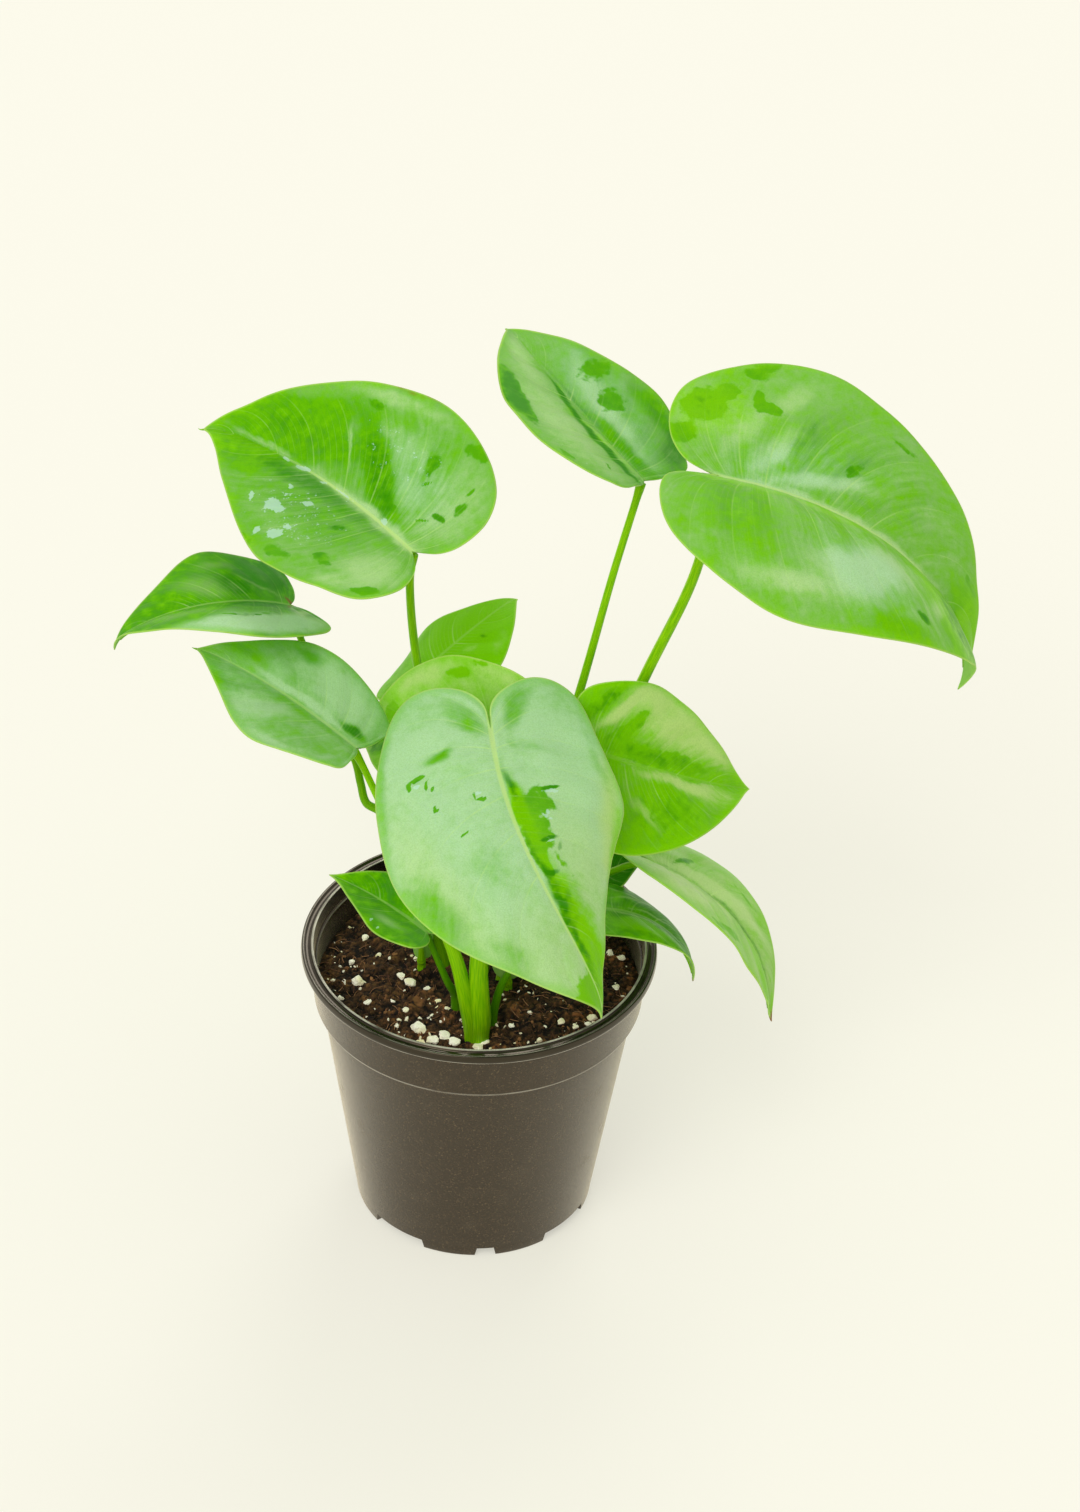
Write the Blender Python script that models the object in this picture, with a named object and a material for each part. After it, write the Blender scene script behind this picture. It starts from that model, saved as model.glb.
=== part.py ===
"""Young swiss cheese plant in a round nursery pot.

The pot stands on +Z up. Its axis is the plant's own centre while it is modelled; at the end a single
root empty is moved so that the middle of the whole object's footprint comes to the world origin.
Design sizes are millimetres and degrees. Only the meshes themselves are written in metres.
"""

import math
from dataclasses import dataclass

import bmesh
import bpy
import numpy as np

MM = 0.001
GAP = 0.3  # air between pieces that touch on the real plant

# Nursery pot
POT_HEIGHT = 100.0
RIM_RADIUS = 57.0
LIP_HEIGHT = 3.0
LIP_ROUND = 0.7
LIP_BULGE = 0.3
COLLAR_RADIUS = 54.4
COLLAR_HEIGHT = 19.0
COLLAR_TAPER = 1.3
BODY_TOP_RADIUS = 50.6
BODY_BOTTOM_RADIUS = 40.0
STEP_HEIGHT = 2.0
WALL = 1.3
FLOOR_TOP = 6.0
FLOOR_THICKNESS = 1.8
FOOT_HEIGHT = 4.0
FOOT_RADIUS = 39.2
FOOT_WIDTH = 2.4
FOOT_FLARE = 0.5
POT_SEGMENTS = 60
FEET_GROUPS = 4  # each is a pair of feet with a narrow notch between them
FOOT_SPAN = 26.0
NARROW_NOTCH = 9.0
NOTCH_SLANT = 1.5
NOTCH_ROOF = 3.6
FIRST_FOOT = -113.0
DRAIN_RADIUS = 4.0
DRAIN_CIRCLE = 29.0

# Soil
SOIL_LEVEL = 85.0
MOUND_HEIGHT = 3.5
BANK_HEIGHT = 3.5
BANK_PLACE = (24.0, -24.0)
BANK_SPREAD = 11.4
SOIL_LUMP = 0.9
SOIL_RINGS = 9
SOIL_SEGMENTS = 48
ROOTED_DEPTH = 16.0
CUT_CLEAR = 3.0  # how far a hole's cutter stands out of the soil

# Blades and stalks
BLADE_THICKNESS = 0.75
BLADE_GRIDS = ((58.0, 20, 3), (25.0, 14, 2), (0.0, 9, 2))  # from this length: rows, columns in each half
VEIN_SWEEP = 2.2  # how far the side veins leave the midrib before they reach the margin
LATE_DROOP = 1.3
HOOK_START = 0.82
THICK_STALK = 2.0  # stalks at least this thick at the soil are rounder
STALK_STEPS = 3
STALK_TAPER = 2.2
STRAIGHT_START = 6.0  # a stalk leaves the soil straight for this far
UPRIGHT = 1.5
MIDRIB_RINGS = 7
MIDRIB_REACH = 0.88
MIDRIB_TIP_RADIUS = 0.45
KNEE = 1.3  # the swollen joint under a blade, in stalk radii


@dataclass
class Leaf:
    """One leaf: where its blade starts, how it is held and bent, its size, and the way its stalk takes."""

    name: str
    base: tuple  # the sinus, where the blade meets its stalk
    heading: float  # compass direction of the midrib at the base, from +X towards +Y
    pitch: float  # how steeply the midrib rises there
    roll: float  # lean of the blade about its midrib
    length: float  # sinus to tip, along the midrib
    width: float
    droop: float  # change of pitch from base to tip
    foot: tuple  # where the stalk leaves the soil
    way: tuple = ()  # points that the stalk passes through
    turn: float = 0.0  # change of heading from base to tip
    twist: float = 0.0  # change of roll from base to tip
    fold: float = 14.0  # each half rises from the midrib by this much
    curl: tuple = (-15.0, -15.0)  # bend of the left and the right half from midrib to margin
    lean: float = 0.0  # how much wider the right half is
    lobe: float = 0.14  # reach of the rounded lobes behind the sinus, in blade lengths
    belly: float = 0.22  # where the blade is widest, in blade lengths
    hook: float = 0.0  # extra change of pitch in the drawn-out tip
    stalk: tuple = (2.3, 1.2)  # stalk radius at the soil and under the blade


LEAVES = (
    Leaf("leaf_front", (2, -14, 194), -81, -20, -4, 102, 81, -55, (1.6, -33),
         way=((0.5, -31.5, 119), (4, -21, 163)), turn=77, twist=-2, fold=0, curl=(-33, -37),
         lean=0.03, lobe=0.18, belly=0.30, hook=-17, stalk=(3.2, 1.4)),
    Leaf("leaf_left", (-37, -6, 177), 150, 24, -16, 65, 52, -22, (-1.9, -33),
         way=((-11.5, -31, 123), (-22, -22, 146), (-33, -10, 168)), twist=38, fold=12, curl=(-23, -12),
         lean=0.04, lobe=0.03, belly=0.27, hook=-12, stalk=(3.1, 1.1)),
    Leaf("leaf_small_left", (-16, -24, 122), 137, 7, 3, 39, 31, 2, (-6.5, -20),
         way=((-9.5, -25, 104),), turn=22, twist=-3, fold=21, curl=(-13, -11),
         lobe=0.13, stalk=(1.7, 1.0)),
    Leaf("leaf_small_right", (35, -14, 126), 14, -7, 6, 49, 39, -77, (5.2, -26.5),
         way=((9.4, -26, 108), (24, -20, 124)), turn=-33, twist=18, fold=10, curl=(-24, -18),
         lobe=0.15, belly=0.19, hook=-8, stalk=(1.5, 1.0)),
    Leaf("leaf_top_left", (-24.4, 33, 226.5), 128, 6, 20, 102, 81, -13, (-5, 11),
         way=((-14, 25, 150), (-22.4, 35, 183), (-25, 33.5, 214)), turn=16, twist=17,
         fold=23, curl=(-11, -10), lean=0.03, belly=0.19, hook=-21, stalk=(2.6, 1.3)),
    Leaf("leaf_far_left", (-63, 42, 199), 213, 27, 0, 64, 52, -69, (-11, 3),
         way=((-32, 7, 145), (-37, 9.5, 147), (-39, 13, 152), (-41, 18, 157), (-59.5, 42, 186)), turn=-28,
         twist=-15, fold=18, curl=(-33, -14), lobe=0.08, belly=0.28, hook=-42, stalk=(2.2, 1.1)),
    Leaf("leaf_top_middle", (46, 40, 251), 139, 26, -20, 76, 60, -22, (7, 16),
         way=((28.5, 24, 180), (39, 33, 226)), turn=-25, twist=25, fold=18, curl=(-20, -16),
         lean=-0.04, lobe=0.04, belly=0.235, hook=-26, stalk=(2.4, 1.2)),
    Leaf("leaf_top_right", (68, 24, 263), -4, -9, 2, 121, 106, -77, (13, 10),
         way=((49, 23, 188), (65.5, 25, 228)), turn=16, twist=-17, fold=26, curl=(-8, -64),
         lean=0.08, lobe=0.147, belly=0.15, hook=-24, stalk=(2.8, 1.6)),
    Leaf("leaf_back", (-27, 50, 163), 35, 33, 15, 53, 42, -38, (-2, 19),
         way=((-14, 36, 125),), turn=21, twist=-21, fold=1, curl=(-32, -28),
         lobe=0.15, belly=0.25, hook=-22, stalk=(2.0, 1.1)),
    Leaf("leaf_middle", (8.5, 2, 178), 157, -11, 51, 67, 52, -30, (1, 0),
         way=((7, 3, 130),), turn=-31, twist=13, fold=21, curl=(-9, -6),
         lobe=0.15, hook=-2, stalk=(2.4, 1.2)),
    Leaf("leaf_right", (31, 0, 178), 15, -28, -57, 70, 55, -2, (8, -4),
         way=((20, 0, 130),), turn=29, twist=3, fold=16, curl=(-15, -15),
         lean=0.07, lobe=0.126, belly=0.205, stalk=(2.3, 1.2)),
    Leaf("leaf_low_right", (52.5, 6, 131), -5, -23, 22, 77, 60, -72, (16, 3),
         way=((34, 9, 118), (44.5, 8, 126)), turn=-18, twist=-17, fold=12, curl=(-20, -16),
         lobe=0.145, belly=0.215, hook=24, stalk=(2.0, 1.1)),
    Leaf("leaf_young", (37, 17, 113), 12, 34, -35, 18, 14, -14, (20, 12),
         fold=24, curl=(-14, -14), lobe=0.10, stalk=(1.3, 0.9)),
    Leaf("sheath_left", (-18.5, 0, 93), -95, 82, 0, 19, 9, 8, (-18.5, 0.5),
         fold=30, curl=(20, 20), lobe=0.06, belly=0.30, stalk=(1.4, 1.1)),
    Leaf("sheath_right", (9.5, -9.5, 93), -90, 80, 0, 17, 14, 6, (9.5, -9),
         fold=30, curl=(20, 20), lobe=0.06, belly=0.30, stalk=(1.5, 1.2)),
)

SHEATHS = ("sheath_left", "sheath_right")  # short sheath leaves without a true blade
HUGGED_BY = {"leaf_front": "leaf_left"}  # the foot of one stalk hugs the other


def remove_everything():
    for old in list(bpy.data.objects):
        bpy.data.objects.remove(old, do_unlink=True)


def material(name, color, roughness, metallic=0.0):
    """A plain Principled finish; color is linear RGB."""
    finish = bpy.data.materials.new(name)
    finish.use_nodes = True
    shader = finish.node_tree.nodes["Principled BSDF"]
    shader.inputs["Base Color"].default_value = (*color, 1.0)
    shader.inputs["Roughness"].default_value = roughness
    shader.inputs["Metallic"].default_value = metallic
    return finish


def add_mesh(name, points, faces, finish):
    """A mesh object from points in millimetres, with its faces turned outwards."""
    mesh = bpy.data.meshes.new(name)
    mesh.from_pydata([tuple(np.asarray(p) * MM) for p in points], [], faces)
    shape = bmesh.new()
    shape.from_mesh(mesh)
    bmesh.ops.recalc_face_normals(shape, faces=shape.faces)
    shape.to_mesh(mesh)
    shape.free()
    mesh.materials.append(finish)
    piece = bpy.data.objects.new(name, mesh)
    bpy.context.scene.collection.objects.link(piece)
    return piece


def combine(piece, others, operation):
    """Join others to piece, or cut them from it, and keep the result as piece's own mesh."""
    for other in others:
        modifier = piece.modifiers.new(operation.title(), "BOOLEAN")
        modifier.operation = operation
        modifier.solver = "EXACT"
        modifier.object = other
    evaluated = piece.evaluated_get(bpy.context.evaluated_depsgraph_get())
    result = bpy.data.meshes.new_from_object(evaluated)
    piece.modifiers.clear()
    piece.data = result
    for other in others:
        bpy.data.objects.remove(other, do_unlink=True)
    return piece


def shade(piece, sharp_degrees):
    piece.data.shade_smooth()
    piece.data.set_sharp_from_angle(angle=math.radians(sharp_degrees))


def smooth_path(points, steps):
    """Centripetal Catmull-Rom curve through the points, with steps samples in each span."""
    p = np.asarray(points, float)
    p = np.vstack([2 * p[0] - p[1], p, 2 * p[-1] - p[-2]])
    samples = []
    for p0, p1, p2, p3 in zip(p[:-3], p[1:-2], p[2:-1], p[3:]):
        t1 = math.sqrt(np.linalg.norm(p1 - p0))
        t2 = t1 + math.sqrt(np.linalg.norm(p2 - p1))
        t3 = t2 + math.sqrt(np.linalg.norm(p3 - p2))
        t = np.linspace(t1, t2, steps, endpoint=False)[:, None]
        a1 = ((t1 - t) * p0 + t * p1) / t1
        a2 = ((t2 - t) * p1 + (t - t1) * p2) / (t2 - t1)
        a3 = ((t3 - t) * p2 + (t - t2) * p3) / (t3 - t2)
        b1 = ((t2 - t) * a1 + t * a2) / t2
        b2 = ((t3 - t) * a2 + (t - t1) * a3) / (t3 - t1)
        samples.append(((t2 - t) * b1 + (t - t1) * b2) / (t2 - t1))
    return np.vstack([*samples, p[-2:-1]])


def unit(vectors):
    return vectors / np.linalg.norm(vectors, axis=-1, keepdims=True)


def tube(name, path, radii, finish, sides):
    """A closed round tube along the path, its rings carried along without twisting."""
    path = np.asarray(path, float)
    tangents = unit(np.gradient(path, axis=0))
    side = unit(np.cross(tangents[0], (0.0, 1.0, 0.2)))
    points = []
    for centre, tangent, radius in zip(path, tangents, radii):
        side = unit(side - tangent * (side @ tangent))
        over = np.cross(tangent, side)
        for k in range(sides):
            angle = 2 * math.pi * k / sides
            points.append(centre + radius * (math.cos(angle) * side + math.sin(angle) * over))
    faces = [tuple(range(sides))]
    for ring in range(len(path) - 1):
        for k in range(sides):
            a, b = ring * sides + k, ring * sides + (k + 1) % sides
            faces.append((a, b, b + sides, a + sides))
    faces.append(tuple(range((len(path) - 1) * sides, len(path) * sides)))
    return add_mesh(name, points, faces, finish)


def ball(name, centre, radius, finish):
    shape = bmesh.new()
    bmesh.ops.create_icosphere(shape, subdivisions=1, radius=radius)
    points = [np.array(v.co) + centre for v in shape.verts]
    faces = [tuple(v.index for v in f.verts) for f in shape.faces]
    shape.free()
    return add_mesh(name, points, faces, finish)


def turned(name, profile, segments, finish, height_at=None):
    """A closed solid of revolution; profile runs from axis to axis as (radius, height)."""
    points = []
    rings = []
    for index, (radius, z) in enumerate(profile):
        if radius < 1e-6:
            rings.append([len(points)])
            points.append((0.0, 0.0, z if height_at is None else height_at(0.0, 0.0, z, index)))
            continue
        ring = []
        for k in range(segments):
            angle = 2 * math.pi * k / segments
            x, y = radius * math.cos(angle), radius * math.sin(angle)
            ring.append(len(points))
            points.append((x, y, z if height_at is None else height_at(x, y, z, index)))
        rings.append(ring)
    faces = []
    for low, high in zip(rings[:-1], rings[1:]):
        for k in range(segments):
            a, b = low[k % len(low)], low[(k + 1) % len(low)]
            c, d = high[(k + 1) % len(high)], high[k % len(high)]
            corners = [(a, b, c, d)] if height_at is None else [(a, b, c), (a, c, d)]
            faces += [tuple(dict.fromkeys(f)) for f in corners if len(set(f)) > 2]
    return add_mesh(name, points, faces, finish)


def pot_inner_radius(z):
    """Radius of the pot's inner wall at a height."""
    collar_bottom = POT_HEIGHT - COLLAR_HEIGHT
    heights = (FLOOR_TOP, collar_bottom - STEP_HEIGHT, collar_bottom, POT_HEIGHT)
    radii = (BODY_BOTTOM_RADIUS, BODY_TOP_RADIUS, COLLAR_RADIUS - COLLAR_TAPER, COLLAR_RADIUS)
    return float(np.interp(z, heights, radii)) - WALL


def make_pot(finish):
    """Thin-walled pot: lip, collar, step, tapered body and a foot ring cut into pairs of feet."""
    collar_bottom = POT_HEIGHT - COLLAR_HEIGHT
    lip_bottom = POT_HEIGHT - LIP_HEIGHT
    inside_heights = (FLOOR_TOP, collar_bottom - STEP_HEIGHT, collar_bottom, POT_HEIGHT)
    inside = [(pot_inner_radius(z), z) for z in inside_heights]
    profile = [
        (0.0, FLOOR_TOP - FLOOR_THICKNESS),
        (FOOT_RADIUS - FOOT_WIDTH, FLOOR_TOP - FLOOR_THICKNESS),
        (FOOT_RADIUS - FOOT_WIDTH, 0.0),
        (FOOT_RADIUS, 0.0),
        (FOOT_RADIUS + FOOT_FLARE, FOOT_HEIGHT),
        (BODY_BOTTOM_RADIUS, FLOOR_TOP),
        (BODY_TOP_RADIUS, collar_bottom - STEP_HEIGHT),
        (COLLAR_RADIUS - COLLAR_TAPER, collar_bottom),
        (COLLAR_RADIUS, lip_bottom),
        (RIM_RADIUS, lip_bottom),
        (RIM_RADIUS + LIP_BULGE, lip_bottom + LIP_ROUND),
        (RIM_RADIUS + LIP_BULGE / 3, POT_HEIGHT - LIP_ROUND),
        (RIM_RADIUS - LIP_ROUND, POT_HEIGHT),
        *reversed(inside),
        (0.0, FLOOR_TOP),
    ]
    pot = turned("pot", profile, POT_SEGMENTS, finish)
    wide_notch = 360.0 / FEET_GROUPS - 2 * FOOT_SPAN - NARROW_NOTCH
    cutters = []
    for group in range(FEET_GROUPS):
        start = FIRST_FOOT + group * 360.0 / FEET_GROUPS
        cutters.append(notch_cutter(start + FOOT_SPAN, NARROW_NOTCH, finish))
        cutters.append(notch_cutter(start + 2 * FOOT_SPAN + NARROW_NOTCH, wide_notch, finish))
        middle = math.radians(start + 2 * FOOT_SPAN + NARROW_NOTCH + wide_notch / 2)
        where = np.array([DRAIN_CIRCLE * math.cos(middle), DRAIN_CIRCLE * math.sin(middle)])
        cutters.append(drain_cutter(where, finish))
    combine(pot, cutters, "DIFFERENCE")
    shade(pot, 30)
    return pot


def notch_cutter(start, span, finish):
    """A block that opens the foot ring between two angles, with its ends slanted."""
    inner = FOOT_RADIUS - 2 * FOOT_WIDTH
    outer = (FOOT_RADIUS + 2 * FOOT_WIDTH) / math.cos(math.radians(span / 2))
    points = []
    for z, grow in ((-2.0, NOTCH_SLANT), (NOTCH_ROOF, -NOTCH_SLANT / 3)):
        for angle in (start - grow, start + span / 2, start + span + grow):
            for radius in (inner, outer):
                a = math.radians(angle)
                points.append((radius * math.cos(a), radius * math.sin(a), z))
    faces = [(0, 2, 3, 1), (2, 4, 5, 3), (6, 7, 9, 8), (8, 9, 11, 10), (0, 1, 7, 6), (4, 10, 11, 5),
             (0, 6, 8, 2), (2, 8, 10, 4), (1, 3, 9, 7), (3, 5, 11, 9)]
    return add_mesh("notch", points, faces, finish)


def drain_cutter(where, finish):
    path = [(*where, FLOOR_TOP - 2 * FLOOR_THICKNESS), (*where, FLOOR_TOP + FLOOR_THICKNESS)]
    return tube("drain", path, (DRAIN_RADIUS, DRAIN_RADIUS), finish, sides=16)


def soil_height(x, y):
    """The soil's upper surface: a low mound with a bank and lumps, settled towards the wall."""
    reach = min(math.hypot(x, y) / pot_inner_radius(SOIL_LEVEL), 1.0)
    mound = MOUND_HEIGHT * (1 - reach**2)
    bank = BANK_HEIGHT * math.exp(-0.5 * (math.dist((x, y), BANK_PLACE) / BANK_SPREAD) ** 2)
    lumps = (math.sin(0.37 * x + 1.3) * math.sin(0.41 * y + 0.4)
             + 0.7 * math.sin(0.83 * x - 0.29 * y) * math.sin(0.77 * y + 0.5 * x + 2.0))
    return SOIL_LEVEL + mound + bank + SOIL_LUMP * lumps * (1 - reach**6)


def make_soil(cutters, finish):
    """The potting mix fills the pot from the floor up, with a plain hole for each stalk."""
    collar_bottom = POT_HEIGHT - COLLAR_HEIGHT
    floor = FLOOR_TOP + GAP
    heights = (floor, collar_bottom - STEP_HEIGHT, collar_bottom, SOIL_LEVEL)
    wall = [(pot_inner_radius(z) - GAP, z) for z in heights]
    top_radius = wall[-1][0]
    rings = [(top_radius * (1 - (k + 1) / SOIL_RINGS) ** 0.85, SOIL_LEVEL) for k in range(SOIL_RINGS)]
    profile = [(0.0, floor), *wall, *rings]
    first_top = len(wall)

    def height(x, y, z, index):
        return soil_height(x, y) if index >= first_top else z

    soil = turned("soil", profile, SOIL_SEGMENTS, finish, height)
    combine(soil, cutters, "DIFFERENCE")
    shade(soil, 35)
    return soil


def stalk_sides(leaf):
    return 7 if leaf.stalk[0] >= THICK_STALK else 6


def stalk_path(leaf):
    """From the rooted end, straight through the soil, and on in one smooth curve to the blade."""
    x, y = leaf.foot
    start = np.array((x, y, soil_height(x, y)))
    ahead = np.array(leaf.way[0] if leaf.way else leaf.base, float) - start
    lean = unit(unit(ahead) + np.array((0, 0, UPRIGHT)))
    below = start - lean * ROOTED_DEPTH
    above = start + lean * min(STRAIGHT_START, 0.4 * np.linalg.norm(ahead))
    curve = smooth_path([start, above, *leaf.way, leaf.base], STALK_STEPS)
    return np.vstack([below, curve[STALK_STEPS:]])


def stalk_radii(leaf, path):
    """Thick at the soil, quickly slimmer, and level from there on."""
    run = np.concatenate([[0.0], np.cumsum(np.linalg.norm(np.diff(path, axis=0), axis=1))])
    part = np.clip((run - ROOTED_DEPTH) / (run[-1] - ROOTED_DEPTH), 0, 1)
    thick, thin = leaf.stalk
    return thin + (thick - thin) * (1 - part) ** STALK_TAPER


def half_outline(leaf, steps):
    """Margin of one half from sinus to tip: (along / length, across / half width), evenly spaced."""
    lobe, belly = leaf.lobe, leaf.belly
    behind_sinus = [(0, 0), (-0.62 * lobe, 0.13), (-lobe, 0.40), (-0.62 * lobe, 0.74)]
    widest = [(0.5 * belly, 0.95), (belly + 0.06, 1.0), (0.33 + 0.62 * belly, 0.87)]
    drip_tip = [(0.72, 0.50), (0.88, 0.195), (0.955, 0.06), (1, 0)]
    curve = smooth_path(behind_sinus + widest + drip_tip, 24)
    run = np.concatenate([[0.0], np.cumsum(np.linalg.norm(np.diff(curve * (1, 0.42), axis=0), axis=1))])
    even = np.linspace(0, run[-1], steps + 1)
    return np.column_stack([np.interp(even, run, curve[:, 0]), np.interp(even, run, curve[:, 1])])


def bent(leaf, along, across):
    """Places and upper normals of blade points, from their flat measures along and across the midrib."""
    run = np.linspace(0, leaf.length, 101)
    part = run / leaf.length
    tipward = (np.clip(part - HOOK_START, 0, 1) / (1 - HOOK_START)) ** 2
    pitch = np.radians(leaf.pitch + leaf.droop * part**LATE_DROOP + leaf.hook * tipward)
    heading = np.radians(leaf.heading + leaf.turn * part**LATE_DROOP)
    roll = np.radians(leaf.roll + leaf.twist * part)
    ahead = np.column_stack([np.cos(pitch) * np.cos(heading), np.cos(pitch) * np.sin(heading), np.sin(pitch)])
    level = np.column_stack([np.sin(heading), -np.cos(heading), 0 * heading])
    over = np.cross(level, ahead)
    right = np.cos(roll)[:, None] * level + np.sin(roll)[:, None] * over
    up = np.cross(right, ahead)
    rib = np.zeros((101, 3))
    rib[1:] = np.cumsum((ahead[1:] + ahead[:-1]) / 2 * (leaf.length / 100), axis=0)

    def at(values):
        inside = np.clip(along, 0, leaf.length)
        return np.stack([np.interp(inside, run, values[:, axis]) for axis in range(3)], -1)

    start = at(rib) + np.minimum(along, 0)[..., None] * at(ahead)
    left_curl, right_curl = leaf.curl
    fold = math.radians(leaf.fold)
    curl = np.radians(np.where(across < 0, left_curl, right_curl)) / (leaf.width / 2)
    curl = np.where(np.abs(curl) < 1e-5, 1e-5, curl)
    reach = np.abs(across)
    out = (np.sin(fold + curl * reach) - math.sin(fold)) / curl * np.sign(across)
    rise = (math.cos(fold) - np.cos(fold + curl * reach)) / curl
    places = np.array(leaf.base, float) + start + at(right) * out[..., None] + at(up) * rise[..., None]
    return places, at(up)


def blade_grid(leaf):
    """Rows run from the midrib to the margin as the side veins do; columns from left margin to right."""
    rows, half_columns = next(grid[1:] for grid in BLADE_GRIDS if leaf.length >= grid[0])
    outline = half_outline(leaf, rows)
    spread = np.linspace(-1, 1, 2 * half_columns + 1)
    root = (np.linspace(0, 1, rows + 1) ** VEIN_SWEEP)[:, None]
    along = (root * (1 - abs(spread)) + outline[:, :1] * abs(spread)) * leaf.length
    half = leaf.width / 2 * np.where(spread < 0, 1 - leaf.lean, 1 + leaf.lean)
    across = outline[:, 1:] * spread * half
    places, _ = bent(leaf, along, across)
    return places


def grid_normals(grid):
    down = np.gradient(grid, axis=0)
    side = np.gradient(grid, axis=1)
    normals = np.cross(side, down)
    normals[0] = normals[1]
    normals[-1] = normals[-2]
    lengths = np.linalg.norm(normals, axis=-1, keepdims=True)
    normals = normals / np.maximum(lengths, 1e-9)
    normals[0] = unit(normals[1].mean(axis=0))
    normals[-1] = unit(normals[-2].mean(axis=0))
    return normals


def make_blade(leaf, finish):
    """A thin closed sheet: the same triangles on the upper and the lower face, and a narrow margin."""
    grid = blade_grid(leaf)
    normals = grid_normals(grid)
    rows, columns = grid.shape[:2]
    points, index = [], {}
    for side, offset in enumerate((BLADE_THICKNESS / 2, -BLADE_THICKNESS / 2)):
        for r in range(rows):
            for c in range(columns):
                single = r in (0, rows - 1)
                if single and c:
                    index[side, r, c] = index[side, r, 0]
                    continue
                index[side, r, c] = len(points)
                points.append(grid[r, c] + normals[r, c] * offset)
    faces = []
    for r in range(rows - 1):
        for c in range(columns - 1):
            for corners in (((r, c), (r + 1, c), (r + 1, c + 1)), ((r, c), (r + 1, c + 1), (r, c + 1))):
                upper = [index[0, a, b] for a, b in corners]
                lower = [index[1, a, b] for a, b in reversed(corners)]
                if len(set(upper)) == 3:
                    faces += [tuple(upper), tuple(lower)]
        for c in (0, columns - 1):
            a, b = index[0, r, c], index[0, r + 1, c]
            d, e = index[1, r, c], index[1, r + 1, c]
            faces += [(a, b, e), (a, e, d)]
    return add_mesh(leaf.name, points, faces, finish)


def make_midrib(leaf, finish):
    """The rounded rib under the blade, which carries on from the stalk and thins towards the tip."""
    along = np.linspace(0.0, MIDRIB_REACH * leaf.length, MIDRIB_RINGS)
    places, up = bent(leaf, along, 0 * along)
    thin = leaf.stalk[1]
    radii = np.linspace(thin, MIDRIB_TIP_RADIUS, MIDRIB_RINGS)
    return tube("midrib", places - up * radii[:, None], radii, finish, stalk_sides(leaf))


def make_leaf(leaf, finish):
    """Blade, midrib, knee and stalk as one solid, hollowed where its foot hugs a neighbour's stalk."""
    path = stalk_path(leaf)
    radii = stalk_radii(leaf, path)
    thin = leaf.stalk[1]
    _, up = bent(leaf, np.zeros(1), np.zeros(1))
    path[-1] = np.array(leaf.base, float) - up[0] * thin
    blade = make_blade(leaf, finish)
    stalk = tube("stalk", path, radii, finish, stalk_sides(leaf))
    knee = ball("knee", path[-1], KNEE * thin, finish)
    combine(blade, [make_midrib(leaf, finish), knee, stalk], "UNION")
    for neighbour in LEAVES:
        if neighbour.name == HUGGED_BY.get(leaf.name):
            combine(blade, [stalk_cutter(neighbour, finish, whole=True)], "DIFFERENCE")
    shade(blade, 60)
    return blade


def stalk_cutter(leaf, finish, whole=False):
    """What is cut round a stalk: the same way, wider by the gap, all along it or only where it is rooted."""
    path = stalk_path(leaf)
    radii = stalk_radii(leaf, path) + GAP / math.cos(math.pi / stalk_sides(leaf))
    lean = unit(path[1] - path[0])
    path[0] -= lean * GAP
    if not whole:
        path = np.vstack([path[0], path[1] + lean * CUT_CLEAR])
        radii = radii[:2]
    return tube("hole", path, radii, finish, stalk_sides(leaf))


def gather(pieces):
    """Parent every piece to one empty, moved so that the footprint's middle is the world origin."""
    root = bpy.data.objects.new("plant_root", None)
    bpy.context.scene.collection.objects.link(root)
    corners = np.array([v.co for piece in pieces for v in piece.data.vertices])
    middle = (corners.min(axis=0) + corners.max(axis=0)) / 2
    for piece in pieces:
        piece.parent = root
    root.location = (-middle[0], -middle[1], 0.0)
    bpy.context.view_layer.update()


remove_everything()
plastic = material("pot_plastic", (0.030, 0.026, 0.024), 0.42)
peat = material("potting_mix", (0.055, 0.028, 0.016), 0.95)
green = material("leaf_green", (0.145, 0.370, 0.050), 0.35)
olive = material("sheath_olive", (0.200, 0.330, 0.050), 0.55)

pieces = [make_pot(plastic)]
pieces.append(make_soil([stalk_cutter(leaf, peat) for leaf in LEAVES], peat))
pieces += [make_leaf(leaf, olive if leaf.name in SHEATHS else green) for leaf in LEAVES]
gather(pieces)
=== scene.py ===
# %% [markdown]
# # A young swiss cheese plant in its nursery pot
#
# The object is a round plastic pot, the soil that fills it, and a tuft of heart-shaped leaves.
# Every leaf stands on a stalk of its own, and the leaves are still whole, because the holes
# that give the plant its name come only on older ones. The solids are already made and packed.
# This script loads them as a fixed frame and dresses them: it swaps each faceted solid for a
# finer piece of the same form, and gives every surface a finish.

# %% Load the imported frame
import math
from dataclasses import dataclass

import bmesh
import bpy
import numpy as np
from mathutils import Matrix, Vector, noise


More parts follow.
